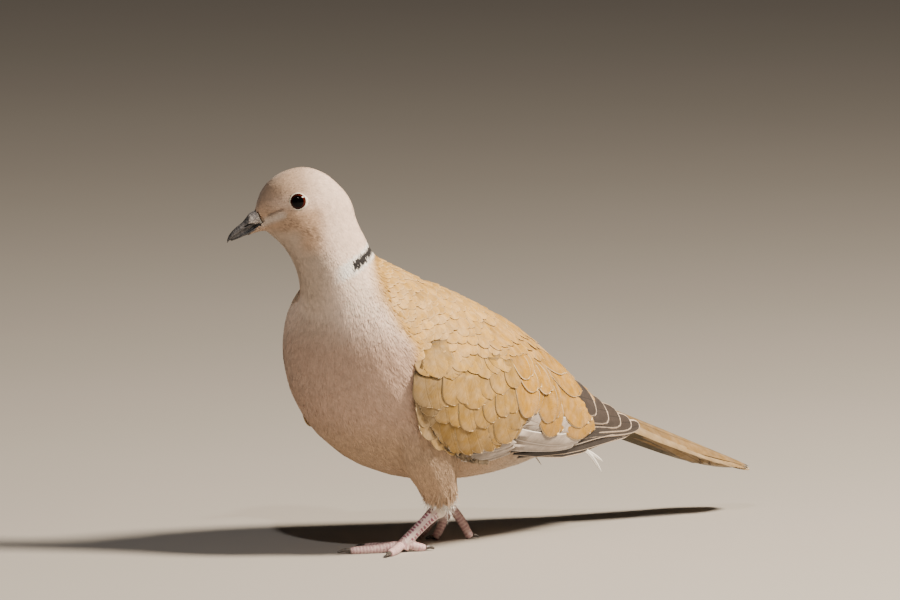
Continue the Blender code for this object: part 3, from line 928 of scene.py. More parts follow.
class Feathers:
    """Collects vanes, each a thin closed blade that lies on a surface, and joins them."""

    def __init__(self, seed, stations=VANE_T, columns=VANE_S):
        self.rng = np.random.default_rng(seed)
        self.t, self.s = stations, columns
        self.parts = {key: [] for key in VANE_PARTS}
        rows, wide = len(stations), len(columns)
        grid = np.arange(rows * wide).reshape(rows, wide)
        self.inner = [(i, j) for i in range(1, rows - 1) for j in range(1, wide - 1)]
        lower = grid.copy()
        for number, place in enumerate(self.inner):
            lower[place] = rows * wide + number
        self.faces = []
        for i in range(rows - 1):
            for j in range(wide - 1):
                corner = [(i, j), (i, j + 1), (i + 1, j + 1), (i + 1, j)]
                self.faces.append([int(grid[c]) for c in corner])
                self.faces.append([int(lower[c]) for c in reversed(corner)])

    def centre_lines(self, onto, paths):
        """Stations along the paths, which are laid on a surface."""
        lines = []
        for path in paths:
            dense = onto(smooth_line(path, 24)[0])[0]
            walked = np.concatenate([[0], np.cumsum(np.linalg.norm(np.diff(dense, axis=0), axis=1))])
            lines.append([np.interp(self.t * walked[-1], walked, dense[:, k]) for k in range(3)])
        return np.array(lines).transpose(0, 2, 1)

    def lay(self, onto, paths, up, down, root_lift, tip_lift, tone, fringe_tone, **look):
        """Lays vanes along paths on a surface; up and down are their half widths."""
        rng, count = self.rng, len(paths)
        look = {**VANE_LOOK, **look}
        up, down, root_lift, tip_lift, tilt = (
            np.broadcast_to(np.asarray(value, float), (count,))[:, None, None]
            for value in (up, down, root_lift, tip_lift, look["tilt"])
        )
        t = self.t[None, :, None]
        s = self.s[None, None, :] * np.ones((count, len(self.t), 1))
        centre = self.centre_lines(onto, paths)
        length = np.linalg.norm(np.diff(centre, axis=1), axis=2).sum(1)[:, None, None]
        normal = onto(centre.reshape(-1, 3))[1].reshape(centre.shape)
        way = unit(np.concatenate([centre[:, 1:2] - centre[:, :1], centre[:, 2:] - centre[:, :-2],
                                   centre[:, -1:] - centre[:, -2:-1]], 1))
        side = unit(np.cross(normal, way))
        half = np.where(s > 0, up, down) * outline(t, look["point"], look["widest"], look["root"])
        offset = s * half
        bow = rng.normal(0, 0.03, (count, 1, 1)) * length * np.sin(t * math.pi)
        flat = centre[:, :, None] + side[:, :, None] * (offset + bow)[..., None]
        swept = -(s**2) * look["sweep"] * length * (t > 0.5)
        flat = flat + way[:, :, None] * swept[..., None]
        base, outward = (rows.reshape(flat.shape) for rows in onto(flat.reshape(-1, 3)))
        rise = root_lift + (tip_lift - root_lift) * t - look["camber"] * s**2 - tilt * s
        rise = rise + rng.normal(0, 0.05, (count, 1, 1)) + rng.normal(0, 0.05, (count, 1, 1)) * s
        body = base + outward * rise[..., None]
        plump = look["thick"] * (1 - np.abs(s) ** 3) * np.minimum(1, (1 - t) * 8 + 0.02)
        top, low = body + outward * plump[..., None], body - outward * plump[..., None]
        edge = np.minimum((1 - np.abs(s)) * np.maximum(half, 0.02), (1 - t) * length) / look["rim"]
        vane = np.stack([offset, t * length * np.ones_like(s), edge], -1)
        cell = np.stack([s * 0.5 + 0.5, t * np.ones_like(s)], -1)
        tone = np.broadcast_to(np.asarray(tone, float), (count, 3))
        tone = tone * (1 + rng.normal(0, look["vary"], (count, 1)))
        fade = look["fade"] + (1 - look["fade"]) * smoothstep(0.3, 0.75, t)
        pigment = np.clip(tone[:, None, None] * fade[..., None] * np.ones(flat.shape), 0, 1)
        rows, columns = zip(*self.inner)
        for key, upper, lower in zip(VANE_PARTS, (top, pigment, vane, cell), (low, pigment, vane, cell)):
            both = [upper.reshape(count, -1, upper.shape[-1]), lower[:, rows, columns]]
            self.parts[key].append(np.concatenate(both, 1))
        size = self.parts["points"][-1].shape[1]
        finish = np.zeros((count, size, 3))
        finish[..., 0], finish[..., 1] = look["fringe"], look["shaft"]
        finish[..., 2] = rng.random((count, 1)) * 60
        self.parts["vane_finish"].append(finish)
        fringe_tone = np.broadcast_to(np.asarray(fringe_tone, float), (count, 3))
        self.parts["fringe_colour"].append(np.repeat(fringe_tone[:, None], size, 1))
        self.parts["root"].append(np.repeat(centre[:, :1], size, 1))

    def joined(self, name, material, mirrored=False):
        """One piece of all the vanes, or its mirror image."""
        size = self.parts["points"][0].shape[1]
        parts = {key: np.concatenate(value) for key, value in self.parts.items()}
        parts = {key: value.reshape(-1, value.shape[-1]) for key, value in parts.items()}
        faces = np.array(self.faces)
        if mirrored:
            parts["points"], parts["root"] = parts["points"] * [-1, 1, 1], parts["root"] * [-1, 1, 1]
            faces = faces[:, ::-1]
        starts = np.arange(0, len(parts["points"]), size)
        every = (starts[:, None, None] + faces[None]).reshape(-1, 4).tolist()
        obj = mesh_object(name, parts["points"], every, material)
        for key in ("pigment", "fringe_colour"):
            write_colours(obj, key, parts[key])
        for key in ("vane", "vane_finish"):
            write_values(obj, key, parts[key])
        write_bake_map(obj, parts["root"], parts["cell"])
        return obj


# ---------------------------------------------------------------------------- wings

# The line round which the wings are charted, as y and height.
CHART_AXIS = ((-60, 85), (-20, 76), (20, 70), (50, 62), (80, 52), (110, 45), (130, 41.5), (200, 19))
CHART_STEP = 1.5  # from row to row of the chart
CHART_ANGLES = np.radians(np.arange(-90.0, 151.0, 1.5))
# The left wing's outer surface: y, then across and up of its upper edge, fullest place and lower edge.
WING_STATIONS = (
    (-27, 34.6, 80, 35.4, 75, 34.6, 69),
    (-24.5, 31.0, 89.5, 37.2, 78, 35.8, 61),
    (-18, 23.5, 103, 39.7, 80.5, 35.4, 52),
    (-8, 15.5, 112, 41.5, 82, 34.6, 43),
    (8, 9.5, 110.5, 41.5, 80, 33.0, 36.5),
    (28, 7.0, 102.8, 39.5, 74.5, 30.0, 34.5),
    (50, 6.5, 92.8, 34.5, 66.5, 26.5, 34.0),
    (74, 6.5, 77.6, 26.5, 56, 22.5, 34.0),
    (96, 7.0, 61.2, 19.8, 48, 18.2, 34.5),
    (115, 8.0, 51.2, 15.7, 43.4, 15.0, 36.5),
    (125.5, 8.3, 46.6, 12.4, 41.6, 11.5, 38.3),
    (129.5, 8.7, 43.6, 10.0, 41.6, 9.6, 39.8),
)


def axis_height(y):
    """Height of the line round which the wings are charted."""
    return edge_at(y, CHART_AXIS)


def arc_through(first, middle, last, count):
    """Points of the arc through three places."""
    turn_matrix = 2 * np.array([middle - first, last - first])
    centre = np.linalg.solve(turn_matrix, [middle @ middle - first @ first, last @ last - first @ first])
    start, end = (math.atan2(*(p - centre)[::-1]) for p in (first, last))
    turn = np.linspace(start, end, count)
    return centre + np.linalg.norm(first - centre) * np.stack([np.cos(turn), np.sin(turn)], 1)


def charted():
    """The outer surface of the left wing, as a function that brings places onto it."""
    rows = np.array(WING_STATIONS)
    ys = np.arange(rows[0, 0] - 4, rows[-1, 0] + 6, CHART_STEP)
    table = np.stack([np.interp(ys, rows[:, 0], rows[:, k]) for k in range(1, 7)], 1)
    for _ in range(6):
        table[1:-1] = (table[:-2] + 2 * table[1:-1] + table[2:]) / 4
    reach = np.empty((len(ys), len(CHART_ANGLES)))
    for k, y in enumerate(ys):
        upper, fullest, lower = table[k].reshape(3, 2)
        over = upper + np.linspace(1, 0, 12, endpoint=False)[:, None] * [-upper[0] - 14, 2]
        under = lower + np.linspace(0, 1, 17)[1:, None] * [-1.0, -16]
        line = np.concatenate([over, arc_through(upper, fullest, lower, 60), under])
        line[:, 1] -= axis_height(y)
        angle = np.arctan2(line[:, 1], line[:, 0])
        reach[k] = np.interp(CHART_ANGLES, angle[::-1], np.linalg.norm(line, axis=1)[::-1])

    def place(y, angle):
        step = CHART_ANGLES[1] - CHART_ANGLES[0]
        radius = between(reach, (y - ys[0]) / CHART_STEP, (angle - CHART_ANGLES[0]) / step)
        return np.stack([radius * np.cos(angle), y, axis_height(y) + radius * np.sin(angle)], -1)

    def onto(points):
        y = points[:, 1]
        angle = np.arctan2(points[:, 2] - axis_height(y), points[:, 0])
        along = place(y + 2.5, angle) - place(y - 2.5, angle)
        round_it = place(y, angle + 0.07) - place(y, angle - 0.07)
        return place(y, angle), unit(np.cross(along, round_it))

    return onto


# Feathers of the left wing: the path from the root to the tip, then the half widths on the rear or
# upper side and on the front or lower side. Later feathers lie over earlier ones.
GREATER_COVERTS = (
    (((37.5, -23.7, 67.3), (36.9, -21.7, 60.2), (36.1, -18.5, 54.1)), 4.2, 4.0),
    (((38.1, -21.9, 65.1), (37.1, -18.5, 56.6), (35.4, -14.1, 48.6)), 4.4, 4.2),
    (((39.3, -18.8, 64.3), (37.3, -14.1, 52.9), (34.9, -8.4, 43.7)), 4.6, 4.4),
    (((40.7, -14.0, 63.4), (38.6, -8.7, 51.9), (34.5, -1.4, 40.6)), 4.8, 4.4),
    (((41.8, -8.5, 63.1), (39.3, -1.8, 51.5), (35.0, 5.7, 40.7)), 4.8, 4.4),
    (((42.5, -2.5, 63.4), (39.8, 3.9, 51.8), (35.4, 11.2, 41.5)), 4.8, 4.4),
    (((42.8, 2.9, 63.7), (40.0, 9.9, 52.0), (35.2, 17.8, 41.7)), 4.8, 4.6),
    (((42.9, 8.4, 65.3), (40.9, 13.7, 55.2), (36.4, 21.2, 44.4)), 5.0, 4.6),
    (((42.4, 16.0, 66.1), (40.4, 20.8, 55.4), (36.0, 27.0, 44.8)), 6.4, 6.0),
    (((42.0, 22.0, 67.0), (41.0, 26.0, 58.0), (38.6, 30.5, 50.0)), 6.0, 5.6),
)
MEDIAN_COVERTS = (
    (((38.6, -22.4, 70.7), (38.6, -20.4, 64.4), (37.9, -18.4, 58.7)), 4.6, 4.4),
    (((40.5, -17.6, 69.8), (40.2, -15.0, 62.4), (38.9, -12.3, 55.4)), 4.8, 4.6),
    (((42.1, -11.6, 70.2), (41.5, -9.1, 62.1), (39.6, -6.1, 53.7)), 4.8, 4.6),
    (((42.9, -4.8, 69.0), (41.9, -1.9, 59.9), (39.6, 1.5, 51.6)), 4.8, 4.8),
    (((43.1, 3.6, 69.1), (42.2, 5.8, 60.3), (40.1, 8.8, 52.5)), 4.8, 4.8),
    (((42.8, 9.9, 70.6), (42.5, 10.8, 62.4), (40.8, 12.3, 54.3)), 5.2, 5.0),
    (((42.3, 17.5, 70.1), (42.1, 17.9, 62.9), (40.7, 19.6, 56.2)), 5.0, 4.8),
    (((41.8, 22.0, 70.0), (41.6, 23.4, 64.0), (40.4, 26.0, 57.4)), 4.8, 4.8),
)
LESSER_COVERTS = (
    (((37.7, -23.4, 78.2), (38.6, -22.3, 70.0), (38.2, -20.1, 62.3)), 5.0, 4.8),
    (((39.8, -18.9, 77.4), (40.2, -18.3, 69.1), (39.4, -16.5, 61.4)), 5.4, 5.2),
    (((41.7, -11.1, 78.3), (42.2, -11.2, 70.5), (41.4, -10.3, 62.8)), 5.8, 5.4),
    (((42.6, -5.7, 77.5), (42.9, -4.8, 70.0), (42.2, -3.6, 63.0)), 4.8, 4.8),
    (((42.6, -0.7, 76.9), (43.1, 0.4, 69.0), (42.2, 2.6, 60.7)), 7.0, 6.6),
    (((42.0, 8.0, 77.5), (43.0, 8.6, 71.0), (42.6, 9.4, 64.0)), 5.2, 5.0),
    (((39.7, 16.3, 80.6), (42.0, 16.0, 72.9), (42.4, 16.6, 65.3)), 6.6, 6.4),
    (((38.1, 24.9, 79.2), (40.3, 24.6, 73.5), (41.2, 25.3, 67.2)), 5.2, 5.0),
)
UPPER_COVERTS = (
    (((35.6, -22.6, 88.4), (37.4, -22.3, 82.0), (38.4, -21.4, 75.4)), 4.8, 4.6),
    (((37.6, -17.6, 88.2), (39.8, -17.9, 81.6), (40.8, -17.4, 74.4)), 5.0, 4.8),
    (((38.6, -11.6, 88.0), (41.0, -12.0, 80.6), (41.9, -11.6, 73.6)), 5.4, 5.0),
    (((39.4, -6.1, 87.3), (41.2, -6.0, 82.7), (42.4, -4.4, 76.6)), 5.4, 5.2),
    (((38.8, 0.6, 87.6), (41.2, 0.8, 81.6), (42.6, 1.8, 75.0)), 5.2, 5.0),
    (((39.0, 6.8, 85.8), (41.8, 7.0, 79.2), (43.1, 7.6, 72.6)), 5.4, 5.2),
    (((37.4, 13.2, 87.0), (40.2, 13.4, 80.6), (41.8, 13.8, 74.0)), 5.0, 5.0),
    (((36.2, 20.0, 86.4), (39.0, 20.2, 80.4), (41.0, 20.8, 74.0)), 5.2, 5.0),
)
TERTIALS = (  # with how far each is lifted
    (((32.2, 48.4, 65.1), (28.5, 70.0, 52.6), (23.7, 86.0, 42.6)), 8.0, 9.0, 0.0),
    (((27.1, 50.1, 70.7), (26.1, 71.0, 58.6), (24.0, 84.2, 47.2)), 8.2, 11.0, 0.3),
    (((23.5, 50.7, 78.5), (22.7, 68.0, 68.6), (21.2, 80.6, 59.8)), 7.6, 9.4, 0.6),
    (((26.4, 44.6, 81.2), (21.5, 60.0, 75.4), (17.6, 74.6, 69.6)), 6.6, 7.0, 0.9),
    (((36.7, 38.7, 67.1), (35.4, 50.8, 55.9), (30.8, 60.4, 44.7)), 10.4, 9.0, 0.1),
    (((35.4, 36.9, 71.3), (36.0, 47.2, 60.8), (33.8, 54.6, 50.8)), 10.0, 8.4, 0.5),
    (((35.6, 30.9, 77.6), (39.8, 32.6, 66.4), (37.8, 37.4, 54.4)), 9.4, 9.0, 0.9),
    (((31.8, 39.7, 77.1), (34.2, 46.0, 70.1), (34.9, 50.3, 62.6)), 6.4, 6.4, 1.1),
    (((35.1, 28.9, 79.4), (37.3, 35.5, 71.8), (37.7, 40.6, 65.0)), 6.6, 6.4, 1.3),
    (((33.6, 26.8, 83.8), (36.0, 31.2, 77.1), (37.4, 34.8, 69.8)), 6.6, 6.4, 1.4),
)
REAR_SCAPULARS = (
    ((33.4, 15.0, 90.0), (35.8, 20.0, 84.5), (37.6, 24.5, 79.0)),
    ((30.4, 17.0, 92.0), (33.6, 23.5, 86.0), (36.2, 29.6, 79.6)),
    ((26.6, 21.0, 92.0), (30.4, 28.0, 85.5), (33.6, 34.6, 79.0)),
    ((22.6, 25.0, 92.5), (26.8, 33.0, 86.0), (30.6, 40.6, 78.6)),
    ((18.6, 30.0, 92.5), (22.8, 38.5, 86.0), (26.6, 46.6, 78.6)),
    ((14.4, 36.0, 92.0), (18.6, 45.0, 85.0), (22.6, 53.0, 77.6)),
    ((11.0, 42.0, 89.0), (14.6, 50.5, 82.5), (18.0, 58.5, 75.6)),
    ((8.6, 50.0, 85.0), (11.4, 58.5, 78.5), (14.0, 66.5, 71.6)),
)
# Of the secondaries, the lower primaries and the alula only the lower edge and one width are given.
SECONDARIES = (
    (((33.9, 29.8, 40.6), (29.6, 50.6, 38.6), (26.3, 65.4, 37.2), (24.4, 75.3, 37.2)), 3.0),
    (((35.5, 28.3, 43.7), (31.3, 48.9, 40.6), (27.7, 64.0, 38.6), (24.7, 78.0, 38.4)), 3.2),
    (((36.7, 27.7, 46.3), (32.5, 47.7, 42.8), (28.0, 64.9, 40.0), (24.7, 79.3, 39.6)), 3.2),
    (((38.1, 27.0, 49.4), (33.7, 46.6, 45.2), (28.8, 64.1, 41.5), (24.8, 80.6, 40.4)), 3.2),
    (((38.8, 28.0, 52.0), (34.7, 45.6, 47.2), (29.5, 63.4, 43.0), (24.7, 81.8, 41.0)), 3.4),
    (((40.3, 25.4, 56.9), (35.6, 44.8, 49.6), (30.5, 62.5, 44.9), (24.4, 83.2, 41.7)), 3.6),
)
PRIMARIES = (
    (((24, 60, 43), (19.5, 96, 40.6), (11.2, 126.8, 41.6)), 4.2, 3.4),
    (((25, 58, 46), (19.5, 90, 45.0), (13.5, 119.2, 44.0)), 5.4, 4.6),
    (((25, 56, 50), (19.5, 84, 49.0), (14.5, 110.8, 46.6)), 7.4, 6.0),
    (((25, 54, 54), (19.0, 78, 53.0), (15.5, 101.8, 50.0)), 9.0, 7.4),
    (((25, 52, 60), (19.0, 74, 58.0), (16.5, 92.6, 54.6)), 10.6, 8.6),
)
LOWER_PRIMARIES = (
    (((29.3, 38.7, 35.9), (22.3, 76.2, 33.9), (17.0, 104.0, 36.7), (13.6, 119.5, 38.3)), 2.0),
    (((31.5, 34.0, 37.6), (23.5, 75.0, 35.2), (18.6, 101.0, 38.0), (14.6, 122.5, 39.2)), 2.0),
    (((32.7, 31.0, 39.3), (24.6, 72.0, 36.8), (21.0, 92.0, 38.6), (17.2, 112.0, 40.4)), 2.2),
)
LOOSE_FEATHERS = (  # two white ones hang out from under the wing's tip
    ((18.6, 80.0, 37.0), (18.2, 89.0, 33.6), (17.8, 97.5, 24.9)),
    ((19.0, 80.0, 37.6), (18.4, 90.0, 34.0), (17.8, 98.4, 29.2)),
)
ALULA = (
    (((34.0, 2.0, 38.6), (34.2, 14.0, 37.6), (33.6, 30.0, 39.2)), 3.0),
    (((34.6, -1.0, 40.0), (34.8, 12.0, 39.2), (34.6, 31.0, 42.0)), 3.2),
    (((35.0, 8.0, 42.4), (35.2, 20.0, 42.0), (35.4, 30.6, 44.6)), 3.0),
)
FRONT_EDGE = (
    (36.4, -26.5, 80), (36.4, -26.0, 67), (35.4, -22, 56.4),
    (34.0, -14.5, 47.0), (33.2, -5.0, 41.0), (33.0, 8.0, 37.4),
)
BROAD = {"point": 2.1, "widest": 0.6}  # the outline of coverts and scapulars


def lay_flight(flight, onto):
    """The folded primaries, and two loose feathers under them."""
    dark, edge = COLOUR["flight"], COLOUR["flight_edge"]
    for k, (path, half) in enumerate(LOWER_PRIMARIES):
        flight.lay(onto, [path], half * 1.6, 0.5, -1.7 + 0.1 * k, -1.5 + 0.12 * k, dark * 0.8, edge,
                   fringe=0.85, rim=0.3, camber=0.05, tilt=0.1, widest=0.85, thick=0.06)
    for k, (path, up, down) in enumerate(PRIMARIES):
        flight.lay(onto, [path], up, down, -1.6 + 0.1 * k, -1.0 + 0.22 * k, dark, edge,
                   fringe=1.0, rim=0.95, shaft=0.4, tilt=0.1, point=3.2, widest=0.82, vary=0.02, sweep=0.0)
    facing = unit(np.array([0.8, -0.6, 0.1]))
    for path in LOOSE_FEATHERS:
        flight.lay(lambda points: (points, np.tile(facing, (len(points), 1))), [path], 0.8, 0.8, 0.0, 0.0,
                   COLOUR["white"], COLOUR["white"], camber=0.1, tilt=0.0, thick=0.12, widest=0.4, root=0.3)


def lay_lower_edge(shield, onto):
    """The alula and the silver secondaries."""
    silver, edge = COLOUR["silver"], COLOUR["silver_edge"]
    for k, (path, half) in enumerate(ALULA):
        shield.lay(onto, [path], half, 1.0, -1.0, -0.6 + 0.15 * k, silver * 0.85, edge, fringe=0.4, camber=0.3)
    for k, (path, half) in enumerate(SECONDARIES):
        shield.lay(onto, [path], half * 1.7, 0.6, -1.05 + 0.06 * k, -0.8 + 0.06 * k, silver, edge,
                   fringe=0.95, rim=0.4, shaft=0.0, camber=0.05, tilt=-0.15, point=3.0, widest=0.88, root=0.9,
                   vary=0.02, sweep=0.0, thick=0.06)


def lay_front_edge(shield):
    """Small grey-olive feathers on the front edge and the wrist, in slanting rows."""
    tree = guide_tree(("left_wing",), 0.8, 3)
    edge = smooth_line(FRONT_EDGE, 19)[0]
    for row in range(3):
        roots = edge + [0, 2.2 * row, 1.2 * row] + shield.rng.normal(0, 0.4, edge.shape)
        paths = [(root, root + [0, 3.0, -3.0], root + [0, 6.0, -5.6]) for root in roots]
        # The lowest feathers take the wrist's colour, grey-brown and darkened as painted shade.
        tones = mixed(COLOUR["wrist"], COLOUR["covert"], smoothstep(55, 75, roots[:, 2]))
        shield.lay(lambda points: settled(tree, points), paths, 2.4, 2.4, -1.0, -0.3 + 0.1 * row, tones,
                   COLOUR["covert_pale"], fringe=0.12, shaft=0.05, thick=0.08)


def lay_coverts(shield, onto):
    """The rows of coverts from the bottom up, each over a layer that shows between its feathers."""
    shape = {**BROAD, "root": 0.8, "camber": 0.16, "tilt": 0.16, "thick": 0.05}
    for rows, lift, fringe, light in (
        (GREATER_COVERTS, -0.25, 0.5, 1.0),
        (MEDIAN_COVERTS, -0.12, 0.5, 1.04),
        (LESSER_COVERTS, 0.0, 0.45, 1.1),
        (UPPER_COVERTS, 0.1, 0.35, 1.18),
    ):
        paths = [row[0] for row in rows]
        under = [np.array(path) + [-0.4, 3.4, 1.6] for path in paths]
        halves = [np.array([row[k] for row in rows]) * 1.22 for k in (1, 2)]
        # They turn greyer toward the front and the bottom of the wing, and darker there as painted shade.
        tips = np.array([path[-1] for path in paths])
        grey = smoothstep(-2, -22, tips[:, 1] - (52 - tips[:, 2]) * 0.5) * 0.75
        tones = mixed(COLOUR["covert"] * light, COLOUR["wrist"] * 1.25, grey)
        depth = np.where((rows is UPPER_COVERTS) & (np.arange(len(rows)) > 1), 1.3, 0.4)
        # The layer beneath is a little darker (0.96): painted shade under the row above.
        shield.lay(onto, under, *halves, lift - depth - 0.15, lift - 0.25, tones * 0.96, COLOUR["fringe"],
                   fringe=fringe * 0.8, **shape)
        shield.lay(onto, paths, *halves, lift - depth, lift, tones, COLOUR["fringe"], fringe=fringe, rim=0.6,
                   shaft=0.1, vary=0.06, **shape)


def lay_inner_wing(shield, onto):
    """The sandy tertials and the rear scapulars, in two and three layers."""
    for path, up, down, lift in TERTIALS:
        # The deeper copy of each tertial is darker (0.94): painted shade under the upper one.
        for way, deeper, light in ((np.array(path) + [-0.6, 4.0, 1.0], 0.35, 0.94), (path, 0.0, 1.0)):
            shield.lay(onto, [way], up, down, lift * 0.4 - 1.3, lift * 0.5 - 0.1 - deeper,
                       COLOUR["tertial"] * light, COLOUR["fringe"], fringe=1.0, rim=0.85, shaft=0.08,
                       camber=0.18, tilt=0.12, point=2.1, widest=0.62, root=0.8, vary=0.04, thick=0.07)
    rear = np.array(REAR_SCAPULARS)
    sandy = mixed(COLOUR["mantle"], COLOUR["tertial"], 0.5)
    for shift, deeper in (([1.0, 4.4, -4.0], 0.35), ([0.0, 0.0, 0.0], 0.0), ([-1.8, -3.6, 3.6], -0.1)):
        shield.lay(onto, rear + shift, 4.4, 4.4, -1.5 - deeper, 0.1 - deeper, sandy, COLOUR["fringe"],
                   fringe=0.45, rim=0.7, shaft=0.05, camber=0.2, tilt=0.1, root=0.8, thick=0.05, **BROAD)


def make_wings(material, onto):
    """The left wing's feathers in tracts, and their mirror image for the right wing."""
    flight, shield = Feathers(21), Feathers(22)
    lay_flight(flight, onto)
    lay_lower_edge(shield, onto)
    lay_front_edge(shield)
    lay_coverts(shield, onto)
    lay_inner_wing(shield, onto)
    for word in SIDES:
        for fans, name, slot, node in (
            (shield, "_wing_feathers", "plumage_sand", "_wing"),
            (flight, "_flight_feathers", "flight_dark", "_primaries"),
        ):
            finish_piece(fans.joined(word + name, material, word == "right"), slot, word + node)


def mantle_share(points):
    """How far places belong to the back and the upper wings, from 0 to 1."""
    x, y, z = points.T
    behind = smoothstep(-2, 3, y - edge_at(z, MANTLE_EDGE)) * smoothstep(-0.5, -2.5, collar_height(points))
    # On the flank of the wing the rows of coverts take over.
    flank = 81 - 6 * smoothstep(20, 34, y) - 3 * smoothstep(38, 50, y)
    rump = smoothstep(14, 10, np.abs(x)) * smoothstep(30, 40, y) * (z > 56)
    return behind * np.maximum(smoothstep(flank - 2, flank + 2, z), rump)


BACK_Y = (-36, -24, -5, 30, 90)  # where the sizes on the back are given, from the neck to the rump


def make_back(material, onto):
    """Low broad feathers on the mantle and the upper wings, small at the neck."""
    form = remeshed(merged_copy("back_form", (FLESH + WINGS, 0.0)), 1.2, 6)
    tree = tree_of(form)

    def back(points):
        """Places on the body or, where it lies farther out, on the charted wing."""
        body, body_up = settled(tree, points)
        mirror = np.where(points[:, :1] < 0, -1, 1) * [1, 0, 0] + [0, 1, 1]
        wing, wing_up = (rows * mirror for rows in onto(points * mirror))
        share = smoothstep(-25, -12, points[:, 1]) * smoothstep(-1.2, -0.2, ((wing - body) * body_up).sum(1))
        return mixed(body, wing, share), unit(mixed(body_up, wing_up, share))

    rng = np.random.default_rng(33)
    seeds = seeds_on(form, 60000, rng)
    bpy.data.objects.remove(form)
    seeds = seeds[(mantle_share(seeds) > 0.4) & (seeds[:, 1] > -48) & (seeds[:, 1] < 100)]
    spacing = np.interp(seeds[:, 1], BACK_Y, (1.7, 2.3, 3.2, 3.8, 4.4))
    wider = 1.4 * smoothstep(100, 84, seeds[:, 2]) * smoothstep(-28, -15, seeds[:, 1])
    seeds = thinned(seeds, spacing + wider)
    seeds, normals = back(seeds)
    ways = on_surface(lie(seeds, normals) + rng.normal(0, 0.1, seeds.shape), normals)
    x, y, z = seeds.T
    size = np.interp(y, BACK_Y, (0.5, 0.65, 0.85, 1.0, 1.15)) * (1 + rng.normal(0, 0.06, len(seeds)))
    reach = (12.0 * size)[:, None]
    paths = np.stack([seeds + ways * reach * share for share in (-0.4, 0.15, 0.6)], 1)
    lift = np.interp(y, (-20, 10, 60), (-0.25, -0.15, -0.05)) - 0.3 * smoothstep(88, 82, z)
    tones = mixed(markings(paths[:, 2]), COLOUR["tertial"], smoothstep(15, 60, y) * 0.8)
    for word, own in (("left", x >= 0), ("right", x < 0)):
        fans = Feathers(34, SMALL_T, SMALL_S)
        half = 5.2 * size[own]
        fans.lay(back, paths[own], half, half, -1.1, lift[own], tones[own], COLOUR["fringe"], fringe=0.3,
                 rim=0.9, shaft=0.03, tilt=0.0, thick=0.05, fade=0.92, vary=0.06, **BROAD)
        finish_piece(fans.joined(word + "_scapulars", material), "plumage_sand")


# ---------------------------------------------------------------------------- tail


ABOVE_TAIL = 120.0  # the height from which the tail's roof is read


def tail_surface():
    """The folded tail as a function that brings places onto its roof, which hangs at the sides."""
    tree = guide_tree(("tail",))
    ys = np.arange(78.0, 199.0, 2.0)
    xs = np.arange(-14.0, 14.1, 1.0)
    height = np.full((len(ys), len(xs)), np.nan)
    for i, y in enumerate(ys):
        for j, x in enumerate(xs):
            hit = tree.ray_cast(Vector((x, y, ABOVE_TAIL)), Vector((0, 0, -1)))[0]
            if hit is not None:
                height[i, j] = hit.z
        known = ~np.isnan(height[i])
        if known.any():
            height[i] = np.interp(xs, xs[known], height[i, known])
    good = [k for k in range(len(ys)) if not np.isnan(height[k]).any()]
    for k in range(len(ys)):
        height[k] = height[min(good, key=lambda other: abs(other - k))]

    def place(x, y):
        # Past the last row the roof slopes on.
        z = between(height, (y - ys[0]) / (ys[1] - ys[0]), x - xs[0])
        return np.stack([x, y, z - 0.38 * np.maximum(y - ys[-1], 0)], -1)

    def onto(points):
        x, y = points[:, 0], points[:, 1]
        along = place(x, y + 2) - place(x, y - 2)
        across = place(x + 0.7, y) - place(x - 0.7, y)
        return place(x, y), unit(np.cross(across, along))

    return onto


# The tail's feathers on one side, from the outermost to the middle: where the root and the tip lie
# across the tail, how far back the tip reaches, and the half width.
TAIL_FEATHERS = (
    (9.0, 10.6, 186.0, 2.6),
    (8.0, 9.4, 190.0, 3.6),
    (6.8, 7.6, 193.0, 4.2),
    (5.4, 5.8, 195.5, 4.6),
    (3.6, 3.8, 197.4, 5.0),
    (1.4, 1.6, 198.6, 5.4),
)
TAIL_ROOT = 84.0


def make_tail(material):
    """The twelve tail feathers, folded into a narrow roof."""
    onto = tail_surface()
    tail = Feathers(41)
    for k, (root_x, tip_x, tip_y, half) in enumerate(TAIL_FEATHERS):
        outer = 1 - k / (len(TAIL_FEATHERS) - 1)
        tone = mixed(COLOUR["tail_sand"], COLOUR["tail_grey"], outer * 0.8)
        for side in (-1, 1):
            path = [(side * (root_x + (tip_x - root_x) * u), TAIL_ROOT + (tip_y - TAIL_ROOT) * u, 0)
                    for u in (0, 0.5, 1)]
            # The dark fringe, in the lore's colour, is painted shade in the gaps between the tail feathers.
            tail.lay(onto, [path], half, half, -1.4 + 0.12 * k, -1.0 + 0.16 * k, tone, COLOUR["lore"],
                     fringe=0.5, rim=0.3, shaft=0.5, camber=0.3, tilt=side * 0.15, thick=0.2, widest=0.86)
    finish_piece(tail.joined("tail_feathers", material), "plumage_sand", "tail")


def make_tail_underside(material):
    """The tail's underparts: dark at the root, with a pale end."""
    under = merged_copy("tail_underside", (("tail",), 0.0))
    points = points_of(under)
    drop = 0.15 + 0.5 * smoothstep(150, 180, points[:, 1])
    move_points(under, points - point_normals(under) * 0.45 - drop[:, None] * [0, 0, 1])
    painted(under, material)
    points = points_of(under)
    tone = mixed(COLOUR["tail_under"], COLOUR["tail_white"], smoothstep(160, 182, points[:, 1]))
    tone = mixed(tone, COLOUR["tail_grey"], smoothstep(-0.75, -0.35, point_normals(under)[:, 2]))
    for name in ("pigment", "fringe_colour"):
        write_colours(under, name, tone)
    write_values(under, "vane", points * [0.6, 1, 0] + [1, 0, 9])
    write_values(under, "vane_finish", points * 0)
    under.data.shade_smooth()
    finish_piece(under, "plumage_sand")


# ---------------------------------------------------------------------------- head and feet


